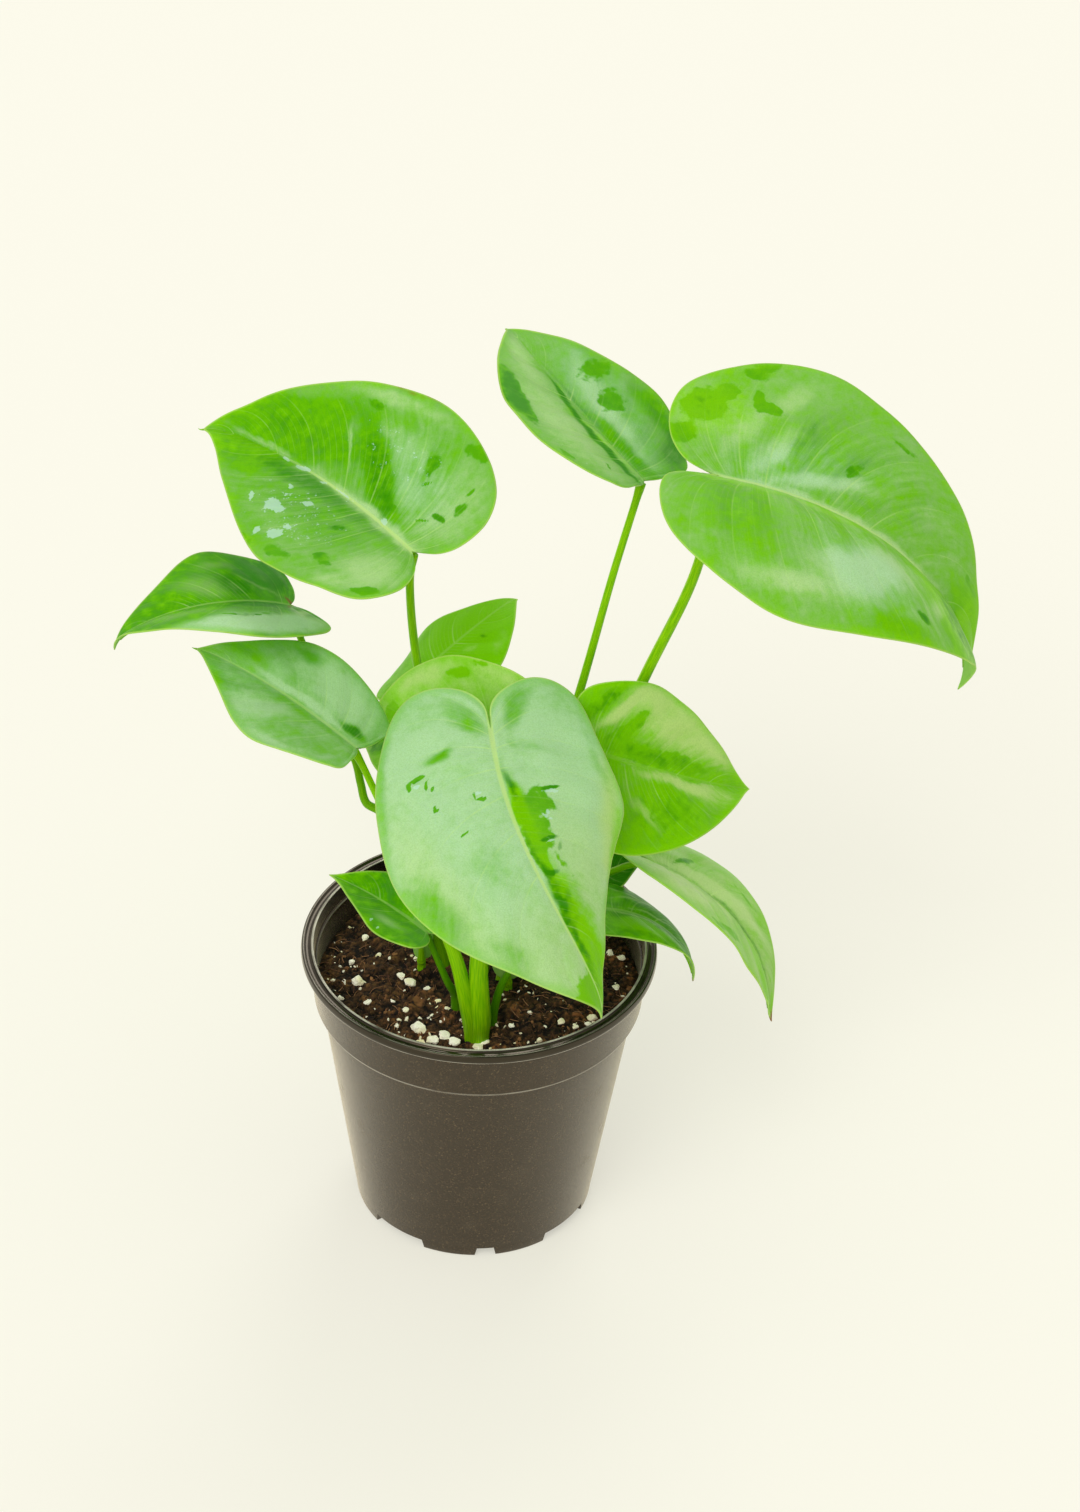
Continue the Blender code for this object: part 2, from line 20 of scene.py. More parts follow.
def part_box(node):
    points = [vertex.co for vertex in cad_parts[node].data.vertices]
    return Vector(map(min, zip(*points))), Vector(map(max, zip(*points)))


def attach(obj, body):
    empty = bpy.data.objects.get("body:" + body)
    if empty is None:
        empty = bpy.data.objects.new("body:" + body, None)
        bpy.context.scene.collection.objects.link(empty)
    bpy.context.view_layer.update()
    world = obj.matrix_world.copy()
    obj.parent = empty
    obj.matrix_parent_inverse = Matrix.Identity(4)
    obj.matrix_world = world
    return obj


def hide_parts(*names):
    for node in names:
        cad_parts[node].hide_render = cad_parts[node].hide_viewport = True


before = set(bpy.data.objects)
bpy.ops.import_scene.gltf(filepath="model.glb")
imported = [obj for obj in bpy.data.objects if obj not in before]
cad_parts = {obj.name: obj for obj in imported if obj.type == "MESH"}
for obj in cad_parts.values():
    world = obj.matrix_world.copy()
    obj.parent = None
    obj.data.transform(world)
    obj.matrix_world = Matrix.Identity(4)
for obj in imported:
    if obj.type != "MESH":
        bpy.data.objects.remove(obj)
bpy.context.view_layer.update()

MM = 0.001
print("the frame holds", len(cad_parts), "solids")

# %% [markdown]
# ## Where the pot stands
#
# All the sizes below are millimetres, measured from the pot's own axis, as the solids were drawn.
# The frame's origin is the middle of the whole plant, leaves included, so the axis lies a little
# off it. The pot's box gives the axis, and everything made here is moved by it once.

# %% Find the pot's axis
pot_low, pot_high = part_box("pot")
POT_AXIS = Vector(((pot_low.x + pot_high.x) / 2, (pot_low.y + pot_high.y) / 2, 0.0))
POT_HEIGHT = 100.0
print("the pot's axis stands at", [round(v / MM, 1) for v in POT_AXIS], "mm")

# %% [markdown]
# ## The camera
#
# The photograph looks down on the plant at about 36 degrees and is rolled a little.
# A long lens keeps the leaves from growing towards us. The camera is placed by one known point:
# the middle of the pot's rim, its distance, and where it falls in the picture.

# %% Place the camera
PHOTO_WIDTH, PHOTO_HEIGHT = 1080, 1512
LENS, SENSOR = 90.0, 36.0
LOOK_DOWN = math.radians(35.58)
CAMERA_ROLL = math.radians(2.04)
RIM_DISTANCE = 1.2139
RIM_PIXEL = (479.4, 942.3)

ahead = Vector((0.0, math.cos(LOOK_DOWN), -math.sin(LOOK_DOWN)))
level_right = Vector((1.0, 0.0, 0.0))
level_up = level_right.cross(ahead)
camera_right = math.cos(CAMERA_ROLL) * level_right + math.sin(CAMERA_ROLL) * level_up
camera_up = -math.sin(CAMERA_ROLL) * level_right + math.cos(CAMERA_ROLL) * level_up

pixels_per_unit = LENS / SENSOR * PHOTO_HEIGHT
rim_right = (RIM_PIXEL[0] - PHOTO_WIDTH / 2) / pixels_per_unit * RIM_DISTANCE
rim_up = (PHOTO_HEIGHT / 2 - RIM_PIXEL[1]) / pixels_per_unit * RIM_DISTANCE
rim_middle = POT_AXIS + Vector((0, 0, POT_HEIGHT * MM))
eye = rim_middle - RIM_DISTANCE * ahead - rim_right * camera_right - rim_up * camera_up

camera_data = bpy.data.cameras.new("camera")
camera_data.lens = LENS
camera_data.sensor_width = SENSOR
camera = bpy.data.objects.new("camera", camera_data)
turned_view = Matrix((camera_right, camera_up, -ahead)).transposed().to_4x4()
camera.matrix_world = Matrix.Translation(eye) @ turned_view
bpy.context.scene.collection.objects.link(camera)
bpy.context.scene.camera = camera
print("the camera stands at", [round(v, 3) for v in eye], "m")

# %% [markdown]
# ## Colours and nodes
#
# A paint chip is easiest to name by the six-figure code that a picture editor shows. Blender's
# shaders work in linear light, so one function turns the code into that. A second function adds
# one node with its settings and wires its inputs. The kinds of node and the settings that come up
# often get short names here, so that a finish below reads as a list of what it does. The scale
# of a noise is its grains to the metre, written as grains to the millimetre over MM.

# %% Helpers for finishes
MATH, RANGE, MIX = "ShaderNodeMath", "ShaderNodeMapRange", "ShaderNodeMix"
NOISE, ATTRIBUTE, BUMP = "ShaderNodeTexNoise", "ShaderNodeAttribute", "ShaderNodeBump"
VECTOR, COMBINE = "ShaderNodeVectorMath", "ShaderNodeCombineXYZ"
PLUS, MINUS, TIMES = {"operation": "ADD"}, {"operation": "SUBTRACT"}, {"operation": "MULTIPLY"}
LARGEST = {"operation": "MAXIMUM"}
TIMES_PLUS = {"operation": "MULTIPLY_ADD"}  # the first times the second, plus the third
SMOOTH = {"interpolation_type": "SMOOTHSTEP"}  # a soft rise from 0 to 1 between two values
COLOURS = {"data_type": "RGBA"}  # from the first colour to the second as the amount rises to 1


def srgb(code):
    """Linear red, green, blue and alpha of a colour code such as 8CC63F."""
    channels = [int(code[i:i + 2], 16) / 255 for i in (0, 2, 4)]
    return (*[c / 12.92 if c <= 0.04045 else ((c + 0.055) / 1.055) ** 2.4 for c in channels], 1.0)


def fill(tree, node, *inputs, **named):
    """Link or set a node's inputs, in order among those in use, or by name with _ for a space."""
    in_use = [socket for socket in node.inputs if socket.enabled]
    by_name = [(node.inputs[name.replace("_", " ")], value) for name, value in named.items()]
    for socket, value in [*zip(in_use, inputs), *by_name]:
        if isinstance(value, bpy.types.NodeSocket):
            tree.links.new(value, socket)
        else:
            socket.default_value = value


def add(tree, kind, settings, *inputs, out=None, **named):
    """A new node with its settings and inputs. Gives the output called out, or the first in use."""
    made = tree.nodes.new(kind)
    for name, value in settings.items():
        setattr(made, name, value)
    fill(tree, made, *inputs, **named)
    return made.outputs[out] if out else next(socket for socket in made.outputs if socket.enabled)


def new_finish(name, roughness):
    """A material with its node tree, its shader and the place of each point on the object."""
    finish = bpy.data.materials.new(name)
    finish.use_nodes = True
    tree = finish.node_tree
    shader = tree.nodes["Principled BSDF"]
    fill(tree, shader, Roughness=roughness)
    return finish, tree, shader, add(tree, "ShaderNodeTexCoord", {}, out="Object")


print("a fresh leaf green is", [round(c, 3) for c in srgb("66B405")[:3]], "in linear light")

# %% [markdown]
# ## Floor and light
#
# The picture is high-key: pale cream all round, with hardly a shadow. The floor runs out of view on
# every side, and it glows a little, as a lit table does, so that its shadows stay faint. The world
# gives even light from all over. Very wide suns stand in for the studio's soft boxes, one on
# the left and one behind. Seen from the plant each is a broad bright disc, and its mirror image on
# a waxy leaf is a faint sheen; the broad pale sheen on the blades is painted into their colour. A sun
# lights the whole floor alike, where a lamp close by would leave a pool. A third sun, low in front
# on the left and fainter, reaches the soil under the leaves.
# The plain Standard view keeps the greens fresh.

# %% The floor
FLOOR_PAINT = srgb("B3B2A8")
FLOOR_GLOW = 0.505
FLOOR_SIDE = 12.0

reach = FLOOR_SIDE / 2
floor_corners = [(-reach, -reach, 0), (reach, -reach, 0), (reach, reach, 0), (-reach, reach, 0)]
floor_mesh = bpy.data.meshes.new("floor")
floor_mesh.from_pydata(floor_corners, [], [(0, 1, 2, 3)])
floor = bpy.data.objects.new("floor", floor_mesh)
bpy.context.scene.collection.objects.link(floor)
floor_finish, tree, shader, _ = new_finish("cream_paper_sweep", 0.9)
fill(tree, shader, Base_Color=FLOOR_PAINT, Specular_IOR_Level=0.0, Emission_Color=srgb("FBF9EC"),
     Emission_Strength=FLOOR_GLOW)
floor_mesh.materials.append(floor_finish)
print("the floor is", FLOOR_SIDE, "m wide")

# %% The light
WORLD_LIGHT = 0.67


def soft_sun(name, azimuth, elevation, spread, strength):
    """A sun seen as a disc spread degrees wide; azimuth 0 is the camera's side."""
    lamp = bpy.data.lights.new(name, "SUN")
    lamp.energy = strength
    lamp.angle = math.radians(spread)
    around, height = math.radians(azimuth), math.radians(elevation)
    level = math.cos(height)
    away = Vector((math.sin(around) * level, -math.cos(around) * level, math.sin(height)))
    holder = bpy.data.objects.new(name, lamp)
    holder.location = rim_middle + away
    holder.rotation_euler = away.to_track_quat("Z", "Y").to_euler()
    bpy.context.scene.collection.objects.link(holder)


world = bpy.data.worlds.new("even_cream_light")
world.use_nodes = True
fill(world.node_tree, world.node_tree.nodes["Background"], Color=srgb("FFFDF8"), Strength=WORLD_LIGHT)
bpy.context.scene.world = world
soft_sun("left_soft_sun", azimuth=-24, elevation=50, spread=32, strength=0.95)
soft_sun("back_soft_sun", azimuth=165, elevation=40, spread=30, strength=0.62)
soft_sun("low_soft_sun", azimuth=-38, elevation=24, spread=50, strength=0.5)
bpy.context.scene.view_settings.view_transform = "Standard"
suns = [light.name for light in bpy.data.lights]
print("besides the even light there are", len(suns), "wide suns:", suns)

# %% [markdown]
# ## Meshes from points
#
# Every piece is written as points and faces in millimetres about the pot's axis. One function
# turns them into an object whose place is in its mesh. A number or colour for each point, such
# as how far it lies from a vein, is kept beside it as an attribute, for the finish to read.

# %% Helpers for meshes
def new_piece(name, points, faces, finish, smooth=True):
    """An object from points in millimetres about the pot's axis."""
    mesh = bpy.data.meshes.new(name)
    places = np.asarray(points, float) * MM + np.array(POT_AXIS)
    mesh.from_pydata(places.tolist(), [], faces)
    mesh.materials.append(finish)
    if smooth:
        mesh.shade_smooth()
    piece = bpy.data.objects.new(name, mesh)
    bpy.context.scene.collection.objects.link(piece)
    return piece


def keep_numbers(piece, name, values):
    attribute = piece.data.attributes.new(name, "FLOAT", "POINT")
    attribute.data.foreach_set("value", np.asarray(values, np.float32).ravel())


def face_outwards(piece):
    """Drop points that no face uses, and turn the faces outwards."""
    shape = bmesh.new()
    shape.from_mesh(piece.data)
    loose = [v for v in shape.verts if not v.link_faces]
    bmesh.ops.delete(shape, geom=loose, context="VERTS")
    bmesh.ops.recalc_face_normals(shape, faces=shape.faces)
    shape.to_mesh(piece.data)
    shape.free()


def grid_faces(rows, columns):
    """The numbers of a grid's points, row by row, and the square faces between them."""
    index = np.arange(rows * columns).reshape(rows, columns)
    corners = [index[:-1, :-1], index[1:, :-1], index[1:, 1:], index[:-1, 1:]]
    return index, np.stack(corners, -1).reshape(-1, 4).tolist()


def triangles(piece):
    return sum(len(face.vertices) - 2 for face in piece.data.polygons)


print("a grid of 3 by 4 points has", len(grid_faces(3, 4)[1]), "faces")

# %% Helpers for curves
def unit(vectors):
    return vectors / np.linalg.norm(vectors, axis=-1, keepdims=True)


def run_along(path, stretch=1.0):
    """How far each point of a path lies from its start, measured along it."""
    steps = np.linalg.norm(np.diff(path * stretch, axis=0), axis=1)
    return np.concatenate([[0.0], np.cumsum(steps)])


def smooth_path(points, steps):
    """Centripetal Catmull-Rom curve through the points, with steps samples in each span."""
    p = np.asarray(points, float)
    p = np.vstack([2 * p[0] - p[1], p, 2 * p[-1] - p[-2]])
    samples = []
    for p0, p1, p2, p3 in zip(p[:-3], p[1:-2], p[2:-1], p[3:]):
        t1 = math.sqrt(np.linalg.norm(p1 - p0))
        t2 = t1 + math.sqrt(np.linalg.norm(p2 - p1))
        t3 = t2 + math.sqrt(np.linalg.norm(p3 - p2))
        t = np.linspace(t1, t2, steps, endpoint=False)[:, None]
        a1 = ((t1 - t) * p0 + t * p1) / t1
        a2 = ((t2 - t) * p1 + (t - t1) * p2) / (t2 - t1)
        a3 = ((t3 - t) * p2 + (t - t2) * p3) / (t3 - t2)
        b1 = ((t2 - t) * a1 + t * a2) / t2
        b2 = ((t3 - t) * a2 + (t - t1) * a3) / (t3 - t1)
        samples.append(((t2 - t) * b1 + (t - t1) * b2) / (t2 - t1))
    return np.vstack([*samples, p[-2:-1]])


three_points = [(0, 0), (1, 1), (2, 0)]
print("a curve through three points in 4 steps has", len(smooth_path(three_points, 4)), "samples")

# %% [markdown]
# ## The nursery pot
#
# A nursery pot is one thin shell of blow-moulded plastic. Its look comes from its lip: two narrow
# ridges with a groove between them, which catch the light as a pair of fine lines, and one more
# bead a little way down the inside. Under the lip comes a smooth collar, a small step and the
# tapered body. It could be a Screw modifier on a curve. A profile of named heights that is turned
# in code is chosen instead, because the feet are then cut from the same numbers.

# %% The pot's profile
RIM_RADIUS = 57.0
LIP_HEIGHT = 3.0
LIP_BULGE = 0.3
COLLAR_RADIUS = 54.4
COLLAR_BOTTOM = 81.0
COLLAR_TAPER = 1.3
BODY_TOP_RADIUS = 50.6
BODY_BOTTOM_RADIUS = 40.0
STEP_HEIGHT = 2.0
WALL = 1.3
FLOOR_TOP = 6.0
FLOOR_THICKNESS = 1.8
FOOT_HEIGHT = 4.0
FOOT_RADIUS = 39.2
FOOT_WIDTH = 2.4
FOOT_FLARE = 0.5
BEAD_HEIGHT = 94.4
BEAD_SIZE = 0.7
TURN_STEPS = 192


def pot_inner_radius(z):
    """Radius of the pot's inner wall at a height."""
    heights = (FLOOR_TOP, COLLAR_BOTTOM - STEP_HEIGHT, COLLAR_BOTTOM, POT_HEIGHT)
    radii = (BODY_BOTTOM_RADIUS, BODY_TOP_RADIUS, COLLAR_RADIUS - COLLAR_TAPER, COLLAR_RADIUS)
    return float(np.interp(z, heights, radii)) - WALL


print("inside its lip the pot is", round(2 * pot_inner_radius(POT_HEIGHT), 1), "mm wide")

# %% The pot's outline
def rounded(corners, radius, steps=3):
    """The outline with each corner replaced by a short arc, shorter than half of its sides."""
    corners = [np.array(c, float) for c in corners]
    outline = [corners[0]]
    for before, corner, after in zip(corners[:-2], corners[1:-1], corners[2:]):
        reach = min(radius, 0.45 * np.linalg.norm(before - corner), 0.45 * np.linalg.norm(after - corner))
        start = corner + unit(before - corner) * reach
        end = corner + unit(after - corner) * reach
        for part in np.linspace(0, 1, steps + 1):
            outline.append((1 - part) ** 2 * start + 2 * part * (1 - part) * corner + part**2 * end)
    return outline + [corners[-1]]


def pot_outline():
    """From the middle of the underside, up the outside, over the lip and down the inside."""
    lip_bottom = POT_HEIGHT - LIP_HEIGHT
    inner_lip = pot_inner_radius(POT_HEIGHT)
    outside = [
        (0.0, FLOOR_TOP - FLOOR_THICKNESS),
        (FOOT_RADIUS - FOOT_WIDTH, FLOOR_TOP - FLOOR_THICKNESS),
        (FOOT_RADIUS - FOOT_WIDTH, 0.0),
        (FOOT_RADIUS, 0.0),
        (FOOT_RADIUS + FOOT_FLARE, FOOT_HEIGHT),
        (BODY_BOTTOM_RADIUS, FLOOR_TOP),
        (BODY_TOP_RADIUS, COLLAR_BOTTOM - STEP_HEIGHT),
        (COLLAR_RADIUS - COLLAR_TAPER, COLLAR_BOTTOM),
        (COLLAR_RADIUS, lip_bottom),
        (RIM_RADIUS, lip_bottom),
        (RIM_RADIUS + LIP_BULGE, lip_bottom + 1.0),
    ]
    lip = [
        (RIM_RADIUS, POT_HEIGHT - 0.1),
        (RIM_RADIUS - 0.9, POT_HEIGHT - 0.1),
        (RIM_RADIUS - 1.3, POT_HEIGHT - 0.75),
        (inner_lip + 1.2, POT_HEIGHT - 0.75),
        (inner_lip + 0.9, POT_HEIGHT),
        (inner_lip, POT_HEIGHT),
    ]
    bead = [
        (pot_inner_radius(BEAD_HEIGHT + BEAD_SIZE), BEAD_HEIGHT + BEAD_SIZE),
        (pot_inner_radius(BEAD_HEIGHT) - BEAD_SIZE, BEAD_HEIGHT + 0.3 * BEAD_SIZE),
        (pot_inner_radius(BEAD_HEIGHT) - BEAD_SIZE, BEAD_HEIGHT - 0.3 * BEAD_SIZE),
        (pot_inner_radius(BEAD_HEIGHT - BEAD_SIZE), BEAD_HEIGHT - BEAD_SIZE),
    ]
    down = [(pot_inner_radius(z), z) for z in (COLLAR_BOTTOM, COLLAR_BOTTOM - STEP_HEIGHT, FLOOR_TOP)]
    return rounded(outside + lip + bead + down + [(0.0, FLOOR_TOP)], 0.6, 4)


def turned(outline, steps):
    """Points and faces of an outline turned round the axis, closed where it starts and ends on it."""
    angles = np.linspace(0, 2 * math.pi, steps, endpoint=False)
    rings, points = [], []
    for radius, z in outline:
        around = angles if radius > 1e-6 else angles[:1]
        rings.append(list(range(len(points), len(points) + len(around))))
        points += [(radius * math.cos(a), radius * math.sin(a), z) for a in around]
    faces = []
    for low, high in zip(rings[:-1], rings[1:]):
        for k in range(steps):
            lower = [low[k % len(low)], low[(k + 1) % len(low)]]
            upper = [high[(k + 1) % len(high)], high[k % len(high)]]
            faces.append(tuple(dict.fromkeys(lower + upper)))
    return points, faces


print("the pot's outline has", len(pot_outline()), "points")

# %% [markdown]
# The foot ring is cut into pairs of feet, so that water runs off, and the floor has drain holes.
# Slanted blocks are cut from the turned shell with the exact Boolean, at the same angles as in
# the solid, and are removed again.

# %% The pot's feet and drain holes
FEET_GROUPS = 4
FOOT_SPAN = 26.0
NARROW_NOTCH = 9.0
FIRST_FOOT = -113.0
NOTCH_SLANT = 1.5
NOTCH_ROOF = 3.6
DRAIN_RADIUS = 4.0
DRAIN_CIRCLE = 29.0
WIDE_NOTCH = 360.0 / FEET_GROUPS - 2 * FOOT_SPAN - NARROW_NOTCH


def notch_block(start, span, finish):
    """A block that opens the foot ring between two angles, with its ends slanted."""
    inner = FOOT_RADIUS - 2 * FOOT_WIDTH
    outer = (FOOT_RADIUS + 2 * FOOT_WIDTH) / math.cos(math.radians(span / 2))
    points = []
    for z, grow in ((-2.0, NOTCH_SLANT), (NOTCH_ROOF, -NOTCH_SLANT / 3)):
        for angle in (start - grow, start + span / 2, start + span + grow):
            for radius in (inner, outer):
                a = math.radians(angle)
                points.append((radius * math.cos(a), radius * math.sin(a), z))
    faces = [(0, 2, 3, 1), (2, 4, 5, 3), (6, 7, 9, 8), (8, 9, 11, 10), (0, 1, 7, 6), (4, 10, 11, 5),
             (0, 6, 8, 2), (2, 8, 10, 4), (1, 3, 9, 7), (3, 5, 11, 9)]
    block = new_piece("notch", points, faces, finish, smooth=False)
    face_outwards(block)
    return block


def drain_block(angle, finish):
    x, y = DRAIN_CIRCLE * math.cos(angle), DRAIN_CIRCLE * math.sin(angle)
    low, high = FLOOR_TOP - 2 * FLOOR_THICKNESS, FLOOR_TOP + FLOOR_THICKNESS
    points, faces = turned([(0, low), (DRAIN_RADIUS, low), (DRAIN_RADIUS, high), (0, high)], 32)
    block = new_piece("drain", np.array(points) + (x, y, 0), faces, finish, smooth=False)
    face_outwards(block)
    return block


def cut(piece, blocks):
    """Cut the blocks from the piece, keep the result as a plain mesh and remove the blocks."""
    for block in blocks:
        modifier = piece.modifiers.new("cut", "BOOLEAN")
        modifier.operation = "DIFFERENCE"
        modifier.solver = "EXACT"
        modifier.object = block
    result = bpy.data.meshes.new_from_object(piece.evaluated_get(bpy.context.evaluated_depsgraph_get()))
    piece.modifiers.clear()
    piece.data = result
    for block in blocks:
        bpy.data.objects.remove(block, do_unlink=True)


print("the foot ring has", 2 * FEET_GROUPS, "feet, and its wide notches open", WIDE_NOTCH, "degrees")

# %% The whole shell
def make_pot(finish):
    points, faces = turned(pot_outline(), TURN_STEPS)
    pot = new_piece("nursery_pot", points, faces, finish)
    face_outwards(pot)
    blocks = []
    for group in range(FEET_GROUPS):
        narrow_start = FIRST_FOOT + group * 360.0 / FEET_GROUPS + FOOT_SPAN
        wide_start = narrow_start + NARROW_NOTCH + FOOT_SPAN
        blocks.append(notch_block(narrow_start, NARROW_NOTCH, finish))
        blocks.append(notch_block(wide_start, WIDE_NOTCH, finish))
        blocks.append(drain_block(math.radians(wide_start + WIDE_NOTCH / 2), finish))
    cut(pot, blocks)
    pot.data.shade_smooth()
    pot.data.set_sharp_from_angle(angle=math.radians(40))
    return pot


print("each of the", FEET_GROUPS, "drain holes is", 2 * DRAIN_RADIUS, "mm wide")

# %% [markdown]
# ### Dark moulded plastic
#
# The plastic is recycled and nearly black, with a warm brown cast where light falls on it. It
# isn't polished: the mould leaves a fine sandy grain, which breaks the sheen up into a soft bloom.
# A little dry dust sits on it. A bump from very fine noise gives the grain, and the dust lightens
# the colour and dulls the sheen. The lip is smoother. Its ridges and the edges of the collar show
# as thin pale lines, found by their height on the pot: partly wear from handling, partly a painted
# highlight where these edges would catch the light.

# %% The finish of the pot
def band(tree, value, low, high, soft=0.12):
    """1 while value lies between low and high, all in millimetres, with a soft change at both."""
    above = add(tree, RANGE, SMOOTH, value, (low - soft) * MM, low * MM)
    below = add(tree, RANGE, SMOOTH, value, (high + soft) * MM, high * MM)
    return add(tree, MATH, TIMES, above, below)


def worn_and_highlit_edges(tree, where, height, outside):
    """Pale lines, in patches, on and under the lip, the collar's edge and the bead: wear and painted
    highlight.
    """
    lip_bottom = POT_HEIGHT - LIP_HEIGHT
    under_lip = add(tree, MATH, TIMES, band(tree, height, lip_bottom - 0.1, lip_bottom + 0.4), outside)
    collar_edge = band(tree, height, COLLAR_BOTTOM + 0.1, COLLAR_BOTTOM + 0.5)
    bead = band(tree, height, BEAD_HEIGHT - 0.2, BEAD_HEIGHT + 0.3)
    bead = add(tree, MATH, TIMES, bead, add(tree, MATH, TIMES_PLUS, outside, -0.5, 0.5))
    # the ridges' pale line and the lines below: partly wear, partly painted highlight
    worn_and_highlit = add(tree, RANGE, SMOOTH, height, (POT_HEIGHT - 0.14) * MM, (POT_HEIGHT - 0.04) * MM)
    for line, share in ((under_lip, 0.8), (collar_edge, 0.4), (bead, 0.8)):
        worn_and_highlit = add(tree, MATH, LARGEST, worn_and_highlit, add(tree, MATH, TIMES, line, share))
    patches = add(tree, NOISE, {}, where, 0.09 / MM, 4)
    return add(tree, MATH, TIMES, worn_and_highlit, add(tree, RANGE, SMOOTH, patches, 0.2, 0.6))


def moulded_plastic():
    """Recycled polypropylene, blow-moulded: nearly black, its sheen broken up by a sandy grain."""
    finish, tree, shader, where = new_finish("moulded_black_brown_polypropylene", 0.4)
    grain = add(tree, NOISE, {}, where, 3.0 / MM, 3)
    sand = add(tree, NOISE, {}, where, 1.7 / MM, 2)
    dust = add(tree, RANGE, SMOOTH, add(tree, NOISE, {}, where, 0.12 / MM, 6), 0.5, 0.8)
    height = add(tree, "ShaderNodeSeparateXYZ", {}, where, out="Z")
    level = add(tree, VECTOR, TIMES, where, (1.0, 1.0, 0.0))
    reach = add(tree, VECTOR, {"operation": "DISTANCE"}, level, (POT_AXIS.x, POT_AXIS.y, 0.0))
    outside = add(tree, RANGE, SMOOTH, reach, (COLLAR_RADIUS - 1.2) * MM, (COLLAR_RADIUS - 0.9) * MM)
    lip_bottom = POT_HEIGHT - LIP_HEIGHT
    below_lip = add(tree, RANGE, SMOOTH, height, (lip_bottom + 0.5) * MM, (lip_bottom - 1.0) * MM)
    sandy = add(tree, RANGE, SMOOTH, sand, 0.35, 0.7)
    colour = add(tree, MIX, COLOURS, sandy, srgb("140E07"), srgb("2A1E11"))
    colour = add(tree, MIX, COLOURS, below_lip, srgb("11110C"), colour)
    specks = add(tree, MATH, TIMES, add(tree, RANGE, SMOOTH, sand, 0.60, 0.74), below_lip)
    worn_and_highlit = worn_and_highlit_edges(tree, where, height, outside)
    # the pale edge lines, D6D2C2, are partly wear and partly painted highlight
    for patch, share, code in ((specks, 0.35, "857352"), (dust, 0.05, "94866C"), (worn_and_highlit, 0.75, "D6D2C2")):
        amount = add(tree, MATH, TIMES, patch, share)
        colour = add(tree, MIX, COLOURS, amount, colour, srgb(code))
    rough_wall = add(tree, MATH, TIMES_PLUS, dust, 0.16, add(tree, MATH, TIMES, grain, 0.14))
    roughness = add(tree, MATH, TIMES_PLUS, rough_wall, below_lip, 0.10)
    relief = add(tree, MATH, TIMES, grain, below_lip)
    bump = add(tree, BUMP, {}, Height=relief, Distance=0.12 * MM, Strength=0.6)
    fill(tree, shader, Base_Color=colour, Roughness=roughness, Specular_IOR_Level=0.6,
         Specular_Tint=srgb("FFE8C4"), Sheen_Weight=0.8, Sheen_Roughness=0.3,
         Sheen_Tint=srgb("F4E4C2"), Normal=bump)
    return finish


pot_finish = moulded_plastic()
print("the plastic has", len(pot_finish.node_tree.nodes), "nodes")

# %% Make the pot
pot = make_pot(pot_finish)
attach(pot, "root")
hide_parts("pot")
print("the pot has", triangles(pot), "triangles")

# %% [markdown]
# ## The soil
#
# Potting mix is peat and coir in crumbs of a millimetre or two, loose on top, with white perlite
# mixed in. The solid has the same low mound and bank. Here the surface gets its crumbs as true
# relief, from layered noise, because they throw shadows that a bump can't. The bottom is closed
# plainly inside the pot.

# %% The soil's surface
SOIL_LEVEL = 85.0
MOUND_HEIGHT = 3.5
BANK_HEIGHT = 3.5
BANK_PLACE = (24.0, -24.0)
BANK_SPREAD = 11.4
SOIL_LUMP = 0.9
GAP = 0.3
SWELL_SIZE, CRUMB_SIZE, FINE_SIZE = 5.5, 2.1, 0.95  # width of swells, crumbs and the bits on them
CRUMB_SHARE, FINE_SHARE = 0.75, 0.32
SWELL_HEIGHT, CRUMB_HEIGHT = 0.75, 1.15
SOIL_CELLS = 270


def soil_height(x, y):
    """The soil's upper surface: a low mound with a bank and lumps, settled towards the wall."""
    reach = min(math.hypot(x, y) / pot_inner_radius(SOIL_LEVEL), 1.0)
    mound = MOUND_HEIGHT * (1 - reach**2)
    bank = BANK_HEIGHT * math.exp(-0.5 * (math.dist((x, y), BANK_PLACE) / BANK_SPREAD) ** 2)
    lumps = (math.sin(0.37 * x + 1.3) * math.sin(0.41 * y + 0.4)
             + 0.7 * math.sin(0.83 * x - 0.29 * y) * math.sin(0.77 * y + 0.5 * x + 2.0))
    return SOIL_LEVEL + mound + bank + SOIL_LUMP * lumps * (1 - reach**6)


def crumbs(x, y):
    """Height of the loose crumbs above the even surface, and how far the spot stands out to the light."""
    wide = noise.fractal(Vector((x, y, 3.0)) / SWELL_SIZE, 0.9, 2.1, 4)
    near = noise.voronoi(Vector((x, y, 0.7)) / CRUMB_SIZE)[0]
    small = noise.voronoi(Vector((x, y, 9.1)) / FINE_SIZE)[0]
    grain = CRUMB_SHARE * (0.5 - near[0]) + FINE_SHARE * (0.5 - small[0])
    lit = min(max(0.5 + 0.9 * grain + 0.35 * wide, 0.0), 1.0)
    return SWELL_HEIGHT * wide + CRUMB_HEIGHT * grain, lit


def disc_grid(radius, cells):
    """A square grid pressed into a round disc, so that its cells stay about equal."""
    edge = np.linspace(-1, 1, cells + 1)
    x, y = np.meshgrid(edge, edge, indexing="ij")
    return radius * x * np.sqrt(1 - y**2 / 2), radius * y * np.sqrt(1 - x**2 / 2)


print("in its middle the soil stands", round(soil_height(0.0, 0.0), 1), "mm high")

